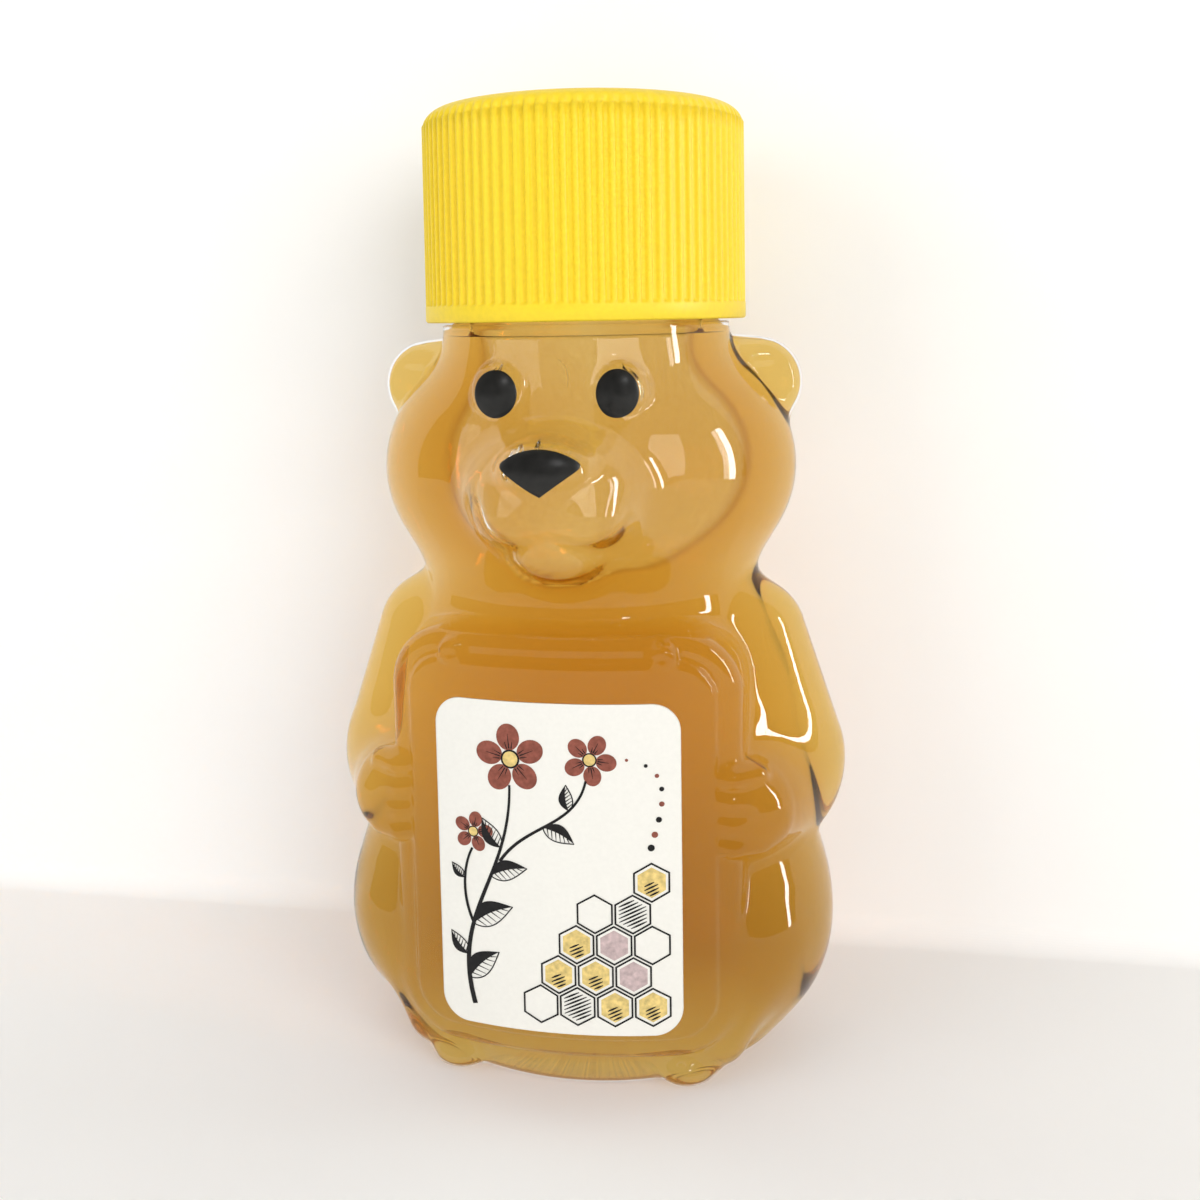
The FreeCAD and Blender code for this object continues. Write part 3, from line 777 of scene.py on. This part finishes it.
# Threads: a rounded ridge along a right-handed helix that fades out at both ends
THREAD_TURNS = 1.5
THREAD_STEPS = 240
THREAD_FADE_RATE = 9.0
THREAD_FADE_POWER = 0.6
THREAD_LEAST_WIDTH = 0.2
NECK_THREAD_DROP = 6.6
NECK_THREAD_WIDTH = 1.7
CAP_THREAD_HEIGHT = 0.85
CAP_THREAD_DROP = 8.2
CAP_THREAD_WIDTH = 1.5
# Section of the ridge: share of its width along the axis and share of its height out of the wall
THREAD_SECTION = (
    (-0.5, 0.0), (-0.42, 0.45), (-0.24, 0.9), (0.0, 1.0), (0.24, 0.9), (0.42, 0.45), (0.5, 0.0),
    (0.3, -0.05), (-0.3, -0.05),
)


def make_thread(name, material, body, root_radius, height, foot, width):
    """A ridge of this height on a wall of the root radius; a height below zero points inwards."""
    points = []
    for step in range(THREAD_STEPS + 1):
        share = step / THREAD_STEPS
        turn = 2.0 * math.pi * THREAD_TURNS * share
        middle = foot + THREAD_PITCH * THREAD_TURNS * share
        fade = min(1.0, THREAD_FADE_RATE * share, THREAD_FADE_RATE * (1.0 - share)) ** THREAD_FADE_POWER
        for along, out in THREAD_SECTION:
            radius = root_radius + height * (out * fade if out > 0.0 else out)
            level = middle + width * along * max(fade, THREAD_LEAST_WIDTH)
            points.append((radius * math.cos(turn), radius * math.sin(turn), level))
    count = len(THREAD_SECTION)
    faces = grid_faces(THREAD_STEPS + 1, count)
    faces.append(tuple(reversed(range(count))))
    faces.append(tuple(THREAD_STEPS * count + index for index in range(count)))
    add_piece(name, points, faces, material, body)


# Films that lie on the skin: a closed thin sheet over a grid of (x, z) points
EYE_GRID = 41
NOSE_GRID = 49
NOSE_ROUND = 0.55
NOSE_SIDE_HEIGHT = 0.48
NOSE_SEARCH = 10.0
NOSE_SEARCH_POINTS = 4001
NOSE_OUTLINE_POINTS = 721
LABEL_COLUMNS = 161
LABEL_ROWS = 215


def film_faces(rows, columns):
    sheet = rows * columns
    faces = grid_faces(rows, columns, close_columns=False)
    faces += [tuple(sheet + index for index in reversed(quad)) for quad in faces]
    border = list(range(columns))
    border += [row * columns + columns - 1 for row in range(1, rows)]
    border += [(rows - 1) * columns + column for column in range(columns - 2, -1, -1)]
    border += [row * columns for row in range(rows - 2, 0, -1)]
    for start, after in zip(border, border[1:] + border[:1]):
        faces.append((after, start, sheet + start, sheet + after))
    return faces


def make_film(name, grid, thickness, material, node):
    x, z = grid
    outer = np.stack([x, skin_front(x, z, SEAT_GAP + thickness), z], axis=-1)
    inner = np.stack([x, skin_front(x, z, 0.5 * SEAT_GAP), z], axis=-1)
    points = np.vstack([outer.reshape(-1, 3), inner.reshape(-1, 3)])
    add_piece(name, points, film_faces(*x.shape), material, "bottle", node)


def oval_grid(centre_x, centre_z, width, height, count):
    """A square grid pressed into an oval."""
    u, v = np.meshgrid(np.linspace(-1, 1, count), np.linspace(-1, 1, count))
    round_u = u * np.sqrt(1.0 - 0.5 * v * v)
    round_v = v * np.sqrt(1.0 - 0.5 * u * u)
    return centre_x + 0.5 * width * round_u, centre_z + 0.5 * height * round_v


def nose_distance(x, z):
    """Distance to the nose outline: under the arched brow and above the two straight sides."""
    half_width = 0.5 * NOSE_PRINT_WIDTH
    half_height = 0.5 * NOSE_PRINT_HEIGHT
    rise = half_height - NOSE_SIDE_HEIGHT
    brow_radius = (half_width * half_width + rise * rise) / (2.0 * rise)
    brow = np.hypot(x, z - half_height + brow_radius) - brow_radius
    drop = half_height + NOSE_SIDE_HEIGHT
    side = (np.abs(x) * drop - (z + half_height) * half_width) / math.hypot(half_width, drop)
    return meet(brow, side, NOSE_ROUND)


def nose_grid(centre_z):
    """Rounded triangle, point down, with an arched top: a round grid drawn out to its outline."""
    u, v = oval_grid(0.0, 0.0, 2.0, 2.0, NOSE_GRID)
    turn = np.arctan2(v, u)
    way = np.linspace(0.0, NOSE_SEARCH, NOSE_SEARCH_POINTS)
    angles = np.linspace(-math.pi, math.pi, NOSE_OUTLINE_POINTS)
    outline = [way[np.argmax(nose_distance(way * math.cos(angle), way * math.sin(angle)) > 0.0)]
               for angle in angles]
    radius = np.interp(turn, angles, outline) * np.hypot(u, v)
    return radius * np.cos(turn), centre_z + radius * np.sin(turn)


def label_grid():
    """Rounded rectangle as rows whose ends follow the corner arcs."""
    half_height = 0.5 * LABEL_HEIGHT
    rise = half_height * np.sin(QUARTER_TURN * np.linspace(-1, 1, LABEL_ROWS))
    over = np.clip(np.abs(rise) - (half_height - LABEL_CORNER), 0.0, LABEL_CORNER)
    half_width = 0.5 * LABEL_WIDTH - LABEL_CORNER + np.sqrt(LABEL_CORNER ** 2 - over ** 2)
    x = half_width[:, None] * np.linspace(-1, 1, LABEL_COLUMNS)[None, :]
    return x, LABEL_MIDDLE + rise[:, None] * np.ones_like(x)


# Label print: honeycomb cells, a leafy sprig with blossoms and a trail of dots, one sheet per colour.
# Places are across and up from the middle of the label.
PRINT_LIFT = 0.008
FINE_LINE = 0.045
BOLD_LINE = 0.09
STROKE_POINTS = 9
BLOB_RINGS = (1.0, 0.8, 0.6, 0.4, 0.2)
HATCH_STEP = 0.27
HATCH_TURN = math.radians(25.0)
HATCH_LEAST = 0.6
CELL_RADIUS = 1.62
CELL_SPACING = 0.96
CELL_BORDER = 0.9
CELL_FILL = 0.76
CELL_SHADE = 0.4
CELL_SHADE_DROP = 0.3
CELL_ROWS = (4, 3, 3, 2, 1)
CELL_CORNER = (7.1, -10.5)
CELL_FILLS = ("yellow", "hatch", "mauve", "yellow", "plain")
CELL_SIDE_POINTS = 4
LEAF_POINTS = 25
LEAF_WIDTH = 0.26
LEAF_BEND = 0.25
LEAF_FULLNESS = 0.8
VEIN_STEP = 3
VEIN_LAST = 20
VEIN_REACH = 0.9
VEIN_POINTS = 7
PETALS = 5
PETAL_PLACE = 0.62
PETAL_SIZE = (0.38, 0.33)
PETAL_LINES = (-0.22, 0.0, 0.22)
PETAL_LINE_START = 0.3
PETAL_LINE_END = 0.72
BLOSSOM_MIDDLE = 0.24
BLOSSOM_RING = 0.27
BLOSSOM_RING_INSIDE = 0.8
OVAL_POINTS = 32
DOTS = 8
DOT_POINTS = 20
DOT_SIZE = 0.12
DOT_GROWTH = 0.02
DOT_TRAIL = ((5.4, 8.6), (9.4, 8.0), (7.6, 4.0), (7.1, 1.9))
# Branches: control points of the curve, number of points and half width at the root
BRANCHES = {
    "stem": (((-6.6, -11.2), (-8.6, -4.0), (-3.4, -1.0), (-3.4, 6.4)), 80, 0.2),
    "twig": (((-4.3, 0.4), (-2.2, 3.6), (1.6, 3.4), (2.4, 7.0)), 50, 0.12),
    "shoot": (((-6.6, -4.6), (-7.6, -2.4), (-7.2, 0.0), (-6.5, 1.2)), 30, 0.12),
}
# Leaves: branch, share of the way along it, lean from its direction and length
LEAVES = (
    ("stem", 0.1, -0.9, 3.4), ("stem", 0.2, 0.8, 2.2), ("stem", 0.36, -0.8, 3.6),
    ("stem", 0.6, -0.9, 3.0), ("stem", 0.74, 0.9, 2.6), ("twig", 0.45, -1.0, 2.6),
    ("twig", 0.7, 0.9, 2.0), ("shoot", 0.5, 0.9, 1.5),
)
# Blossoms: middle, radius and turn
BLOSSOMS = (((-3.3, 8.4), 2.7, 0.4), ((2.7, 8.6), 2.0, 1.1), ((-6.4, 2.5), 1.6, 0.1))


def add_grid(ink, rows, closed):
    """Quads between matched rows of points on the label."""
    first = len(ink["points"])
    for row in rows:
        ink["points"] += [tuple(point) for point in row]
    ink["faces"] += grid_faces(len(rows), len(rows[0]), close_columns=closed, first=first)


def add_ring(ink, outline, shares):
    """Copies of an outline, each drawn in to a share of its size, with quads between them."""
    middle = outline.mean(axis=0)
    add_grid(ink, [middle + (outline - middle) * share for share in shares], True)


def add_blob(ink, outline):
    add_ring(ink, outline, BLOB_RINGS)
    last = len(ink["points"])
    ink["faces"].append(tuple(range(last - len(outline), last)))


def add_stroke(ink, path, half_width):
    way = np.gradient(path, axis=0)
    way = way / np.linalg.norm(way, axis=1)[:, None]
    left = np.stack([-way[:, 1], way[:, 0]], axis=-1) * np.broadcast_to(half_width, len(path))[:, None]
    add_grid(ink, [path - left, path + left], False)


def direction(angle):
    return np.array([math.cos(angle), math.sin(angle)])


def bend(controls, count):
    """Points along a smooth curve that is drawn towards its control points."""
    share = np.linspace(0.0, 1.0, count)[:, None]
    layer = [np.array(control)[None, :] for control in controls]
    while len(layer) > 1:
        layer = [start + (end - start) * share for start, end in zip(layer, layer[1:])]
    return layer[0]


def oval(middle, along, across, turn, count=OVAL_POINTS):
    angle = full_turn(count)[:, None]
    way = direction(turn)
    side = np.array([-way[1], way[0]])
    return np.array(middle) + along * np.cos(angle) * way + across * np.sin(angle) * side


def hexagon(middle, radius):
    corners = oval(middle, radius, radius, math.radians(30.0), 6)
    sides = zip(corners, np.roll(corners, -1, axis=0))
    return np.concatenate([bend(side, CELL_SIDE_POINTS + 1)[:-1] for side in sides])


def add_hatching(ink, outline):
    """Slanted lines across an outline, thicker in the middle, as in an engraving."""
    across = direction(HATCH_TURN + QUARTER_TURN)
    depth = (outline - outline.mean(axis=0)) @ across
    ends = np.roll(outline, -1, axis=0)
    end_depth = np.roll(depth, -1)
    swell = HATCH_LEAST + np.sin(math.pi * np.linspace(0.0, 1.0, STROKE_POINTS))
    for level in np.arange(depth.min() + 0.5 * HATCH_STEP, depth.max(), HATCH_STEP):
        crossed = (depth - level) * (end_depth - level) < 0.0
        share = ((level - depth) / (end_depth - depth + TINY))[crossed][:, None]
        hits = outline[crossed] + (ends[crossed] - outline[crossed]) * share
        add_stroke(ink, bend(hits[:2], STROKE_POINTS), FINE_LINE * swell)


def add_cell(inks, middle, radius, fill):
    add_ring(inks["dark"], hexagon(middle, radius), (1.0, CELL_BORDER))
    inner = hexagon(middle, CELL_FILL * radius)
    if fill == "hatch":
        add_hatching(inks["dark"], inner)
    elif fill != "plain":
        add_blob(inks[fill], inner)
    if fill == "yellow":
        shade_middle = middle + np.array([0.0, -CELL_SHADE_DROP * radius])
        add_hatching(inks["dark"], hexagon(shade_middle, CELL_SHADE * radius))


def add_honeycomb(inks):
    for row, count in enumerate(CELL_ROWS):
        for column in range(count):
            left = math.sqrt(3.0) * (column + 0.5 * (row % 2))
            middle = np.array(CELL_CORNER) + CELL_RADIUS * np.array([-left, 1.5 * row])
            fill = CELL_FILLS[(2 * row + 3 * column) % len(CELL_FILLS)]
            add_cell(inks, middle, CELL_SPACING * CELL_RADIUS, fill)


def add_leaf(ink, root, way, length):
    """A leaf dark on one side of its rib and veined on the other."""
    width = LEAF_WIDTH * length
    share = np.linspace(0.0, 1.0, LEAF_POINTS)[:, None]
    side = np.array([-way[1], way[0]])
    rib = root + way * length * share + side * LEAF_BEND * width * np.sin(math.pi * share)
    reach = side * width * np.sin(math.pi * share ** LEAF_FULLNESS)
    add_grid(ink, [rib, rib + 0.5 * reach, rib + reach], False)
    add_stroke(ink, rib - reach, FINE_LINE)
    vein_ends = rib - VEIN_REACH * reach
    vein_width = np.linspace(FINE_LINE, 0.4 * FINE_LINE, VEIN_POINTS)
    for start in range(VEIN_STEP, VEIN_LAST, VEIN_STEP):
        add_stroke(ink, bend((rib[start], vein_ends[start + VEIN_STEP]), VEIN_POINTS), vein_width)


def add_blossom(inks, middle, radius, turn):
    middle = np.array(middle)
    line_width = np.linspace(1.2 * FINE_LINE, 0.3 * FINE_LINE, STROKE_POINTS)
    for petal in range(PETALS):
        angle = turn + 2.0 * math.pi * petal / PETALS
        petal_middle = middle + PETAL_PLACE * radius * direction(angle)
        add_blob(inks["red"], oval(petal_middle, PETAL_SIZE[0] * radius, PETAL_SIZE[1] * radius, angle))
        for slant in PETAL_LINES:
            way = radius * direction(angle + slant)
            line = (middle + PETAL_LINE_START * way, middle + (PETAL_LINE_END - abs(slant)) * way)
            add_stroke(inks["dark"], bend(line, STROKE_POINTS), line_width)
    add_blob(inks["yellow"], oval(middle, BLOSSOM_MIDDLE * radius, BLOSSOM_MIDDLE * radius, 0.0))
    ring = oval(middle, BLOSSOM_RING * radius, BLOSSOM_RING * radius, 0.0)
    add_ring(inks["dark"], ring, (1.0, BLOSSOM_RING_INSIDE))


def add_sprig(inks):
    paths = {}
    for name, (controls, count, root_width) in BRANCHES.items():
        paths[name] = bend(controls, count)
        add_stroke(inks["dark"], paths[name], np.linspace(root_width, BOLD_LINE, count))
    for name, share, lean, length in LEAVES:
        path = paths[name]
        index = int(share * len(path))
        way = path[index + 1] - path[index]
        angle = math.atan2(way[1], way[0]) + lean
        add_leaf(inks["dark"], path[index], direction(angle), length)
    for middle, radius, turn in BLOSSOMS:
        add_blossom(inks, middle, radius, turn)


def add_dots(inks):
    for index, middle in enumerate(bend(DOT_TRAIL, DOTS)):
        size = DOT_SIZE + DOT_GROWTH * index
        add_blob(inks["dark" if index % 2 else "red"], oval(middle, size, size, 0.0, DOT_POINTS))


def make_label_print():
    inks = {name: {"points": [], "faces": []} for name in PRINT_COLOURS}
    add_honeycomb(inks)
    add_sprig(inks)
    add_dots(inks)
    for level, (name, ink) in enumerate(inks.items(), start=1):
        x, rise = np.array(ink["points"]).T
        z = LABEL_MIDDLE + rise
        y = skin_front(x, z, SEAT_GAP + LABEL_THICKNESS + PRINT_LIFT * level)
        add_piece("label_print_" + name, np.stack([x, y, z], axis=-1), ink["faces"],
                  print_material(name), "bottle")


# All pieces; the liner keeps its own solid and only gets its material
def make_object():
    pet = pet_material()
    cap_yellow = cap_material()
    black_ink = ink_material()
    make_bottle(pet, wetted_material(), dry_material())
    make_honey(honey_material())
    make_cap(cap_yellow)
    make_thread("neck_thread", pet, "bottle", FINISH_RADIUS, THREAD_HEIGHT,
                RIM - NECK_THREAD_DROP, NECK_THREAD_WIDTH)
    make_thread("cap_thread", cap_yellow, "cap", CAP_INSIDE, -CAP_THREAD_HEIGHT,
                RIM - CAP_THREAD_DROP, CAP_THREAD_WIDTH)
    eye_x, _, eye_z = LUMPS["eye"][0]
    for name, side in (("left_eye", 1.0), ("right_eye", -1.0)):
        eye = oval_grid(side * eye_x, eye_z, EYE_PRINT_WIDTH, EYE_PRINT_HEIGHT, EYE_GRID)
        make_film(name + "_ink", eye, PRINT_THICKNESS, black_ink, name)
    nose = nose_grid(LUMPS["nose"][0][2])
    make_film("nose_ink", nose, PRINT_THICKNESS, black_ink, "nose_print")
    make_film("label_sheet", label_grid(), LABEL_THICKNESS, label_material(), "front_label")
    make_label_print()
    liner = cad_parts["cap_liner"]
    liner.data.materials.clear()
    liner.data.materials.append(liner_material())


# Paper that the bear lies against, swept forward into the floor it stands on
PAPER_BACK = 15.9
PAPER_SWEEP = 2.5
PAPER_SWEEP_STEPS = 16
PAPER_REACH = 420.0
PAPER_GRAIN = 40.0
PAPER_TONES = ((0.79, 0.785, 0.77, 1.0), (0.83, 0.825, 0.81, 1.0))
PAPER_FILL = 0.2
PAPER_THROUGH = 1.0
# Painted shade: the glow seen through the bottle starts at this share at the floor and is full at the
# height below
FOOT_SHADE = 0.66
FOOT_SHADE_HEIGHT = 22.0


def add_math(tree, operation, first, second):
    """A math node fed by an output socket and by another one or a number."""
    node = add_node(tree, "Math")
    node.operation = operation
    tree.links.new(first, node.inputs[0])
    if isinstance(second, float):
        node.inputs[1].default_value = second
    else:
        tree.links.new(second, node.inputs[1])
    return node.outputs[0]


def mix_shaders(tree, share, first, second):
    mix = add_node(tree, "MixShader")
    tree.links.new(share, mix.inputs[0])
    tree.links.new(first.outputs[0], mix.inputs[1])
    tree.links.new(second.outputs[0], mix.inputs[2])
    return mix


def lit_paper(tree, path):
    """Grained paper, filled up a little towards white for the camera and for reflections."""
    diffuse = add_node(tree, "BsdfDiffuse")
    grain = add_node(tree, "TexNoise", Scale=PAPER_GRAIN)
    tone = add_node(tree, "ValToRGB")
    for stop, colour in zip(tone.color_ramp.elements, PAPER_TONES):
        stop.color = colour
    tree.links.new(grain.outputs["Fac"], tone.inputs["Fac"])
    tree.links.new(tone.outputs["Color"], diffuse.inputs["Color"])
    seen = add_math(tree, "MAXIMUM", path.outputs["Is Camera Ray"], path.outputs["Is Glossy Ray"])
    glow = add_node(tree, "Emission")
    tree.links.new(add_math(tree, "MULTIPLY", seen, PAPER_FILL), glow.inputs["Strength"])
    lit = add_node(tree, "AddShader")
    tree.links.new(diffuse.outputs[0], lit.inputs[0])
    tree.links.new(glow.outputs[0], lit.inputs[1])
    return lit


def paper_seen_through(tree):
    """White backdrop for light through the bottle, with painted shade: the glow is darker near the floor.
    """
    glow = add_node(tree, "Emission")
    place = add_node(tree, "TexCoord")
    height = add_node(tree, "SeparateXYZ")
    shade = add_node(tree, "MapRange", From_Max=FOOT_SHADE_HEIGHT * MM, To_Min=FOOT_SHADE,
                     To_Max=PAPER_THROUGH)
    tree.links.new(place.outputs["Object"], height.inputs["Vector"])
    tree.links.new(height.outputs["Z"], shade.inputs["Value"])
    tree.links.new(shade.outputs["Result"], glow.inputs["Strength"])
    return glow


def paper_material():
    """The paper is one-sided, so that views from behind are not blocked."""
    material = bpy.data.materials.new("pale_paper")
    material.use_nodes = True
    tree = material.node_tree
    tree.nodes.clear()
    path = add_node(tree, "LightPath")
    geometry = add_node(tree, "NewGeometry")
    front = mix_shaders(tree, path.outputs["Is Transmission Ray"], lit_paper(tree, path),
                        paper_seen_through(tree))
    sheet = mix_shaders(tree, geometry.outputs["Backfacing"], front, add_node(tree, "BsdfTransparent"))
    output = add_node(tree, "OutputMaterial")
    tree.links.new(sheet.outputs[0], output.inputs["Surface"])
    return material


def make_paper():
    outline = [(-PAPER_REACH, 0.0)]
    for step in range(PAPER_SWEEP_STEPS + 1):
        angle = QUARTER_TURN * step / PAPER_SWEEP_STEPS
        outline.append((PAPER_BACK - PAPER_SWEEP + PAPER_SWEEP * math.sin(angle),
                        PAPER_SWEEP - PAPER_SWEEP * math.cos(angle)))
    outline.append((PAPER_BACK, PAPER_REACH))
    points = [(side * PAPER_REACH, y, z) for y, z in outline for side in (-1.0, 1.0)]
    faces = [(2 * i, 2 * i + 1, 2 * i + 3, 2 * i + 2) for i in range(len(outline) - 1)]
    sheet = add_mesh("pale_paper", points, faces, paper_material())


# Lamps: place, target height, width, height, power, colour, and whether it serves reflections only
LAMPS = {
    "key": ((230.0, -310.0, 150.0), 40.0, 260.0, 260.0, 0.96, (1.0, 0.98, 0.95), False),
    "fill": ((-300.0, -260.0, 140.0), 40.0, 300.0, 300.0, 0.62, (0.98, 0.99, 1.0), False),
    "window": ((330.0, -50.0, 70.0), 45.0, 26.0, 300.0, 0.7, (1.0, 1.0, 1.0), True),
    "lamp": ((120.0, -260.0, 260.0), 45.0, 30.0, 50.0, 0.16, (1.0, 1.0, 1.0), True),
}
WORLD_LIGHT = 0.35
WORLD_MIRRORED = 0.15


def add_lamp(name, place, target_height, width, height, power, colour, mirrored):
    """A lamp either lights surfaces or shows in their gloss."""
    data = bpy.data.lights.new(name, "AREA")
    data.shape = "RECTANGLE"
    data.size = width * MM
    data.size_y = height * MM
    data.energy = power
    data.color = colour
    lamp = bpy.data.objects.new(name, data)
    lamp.visible_glossy = mirrored
    lamp.visible_diffuse = not mirrored
    lamp.location = Vector(place) * MM
    way = Vector((0.0, 0.0, target_height)) - Vector(place)
    lamp.rotation_euler = way.to_track_quat("-Z", "Y").to_euler()
    bpy.context.scene.collection.objects.link(lamp)


def light_world():
    """White to the camera and through the bottle, dimmer as light and in reflections."""
    world = bpy.context.scene.world or bpy.data.worlds.new("world")
    bpy.context.scene.world = world
    world.use_nodes = True
    tree = world.node_tree
    tree.nodes.clear()
    path = add_node(tree, "LightPath")
    seen = add_math(tree, "MAXIMUM", path.outputs["Is Camera Ray"], path.outputs["Is Transmission Ray"])
    unseen = add_node(tree, "MapRange", To_Min=WORLD_LIGHT, To_Max=WORLD_MIRRORED)
    tree.links.new(path.outputs["Is Glossy Ray"], unseen.inputs["Value"])
    ground = add_node(tree, "Background", Color=WHITE)
    strength = add_math(tree, "MAXIMUM", seen, unseen.outputs["Result"])
    tree.links.new(strength, ground.inputs["Strength"])
    output = add_node(tree, "OutputWorld")
    tree.links.new(ground.outputs[0], output.inputs["Surface"])


# Camera: close in front, a little to the right and tilted down, the rest of the framing by shifting.
# The lens and the pixel of its axis are those of the photograph's square frame.
IMAGE_SIZE = 1200.0
FOCAL_PIXELS = 1332.0
AXIS_PIXEL = (588.5, 466.0)
CAMERA_TURN = math.radians(10.5)
CAMERA_DISTANCE = 111.0
CAMERA_HEIGHT = 60.0
CAMERA_ROLL = math.radians(1.0)
CAMERA_TILT = math.radians(6.5)
CAMERA_NEAR = 4.0
SENSOR_WIDTH = 36.0


def add_camera():
    data = bpy.data.cameras.new("photo_view")
    data.sensor_width = SENSOR_WIDTH
    data.lens = SENSOR_WIDTH * FOCAL_PIXELS / IMAGE_SIZE
    data.shift_x = 0.5 - AXIS_PIXEL[0] / IMAGE_SIZE
    data.shift_y = AXIS_PIXEL[1] / IMAGE_SIZE - 0.5
    data.clip_start = CAMERA_NEAR * MM
    camera = bpy.data.objects.new("photo_view", data)
    bpy.context.scene.collection.objects.link(camera)
    camera.location = Vector((CAMERA_DISTANCE * math.sin(CAMERA_TURN),
                              -CAMERA_DISTANCE * math.cos(CAMERA_TURN), CAMERA_HEIGHT)) * MM
    turned = Matrix.Rotation(CAMERA_TURN, 3, "Z")
    tilted = Matrix.Rotation(QUARTER_TURN - CAMERA_TILT, 3, "X")
    rolled = Matrix.Rotation(-CAMERA_ROLL, 3, "Z")
    camera.rotation_euler = (turned @ tilted @ rolled).to_euler()
    bpy.context.scene.camera = camera


make_object()
make_paper()
light_world()
for lamp_name, lamp_values in LAMPS.items():
    add_lamp(lamp_name, *lamp_values)
add_camera()
bpy.context.scene.view_settings.view_transform = "Standard"
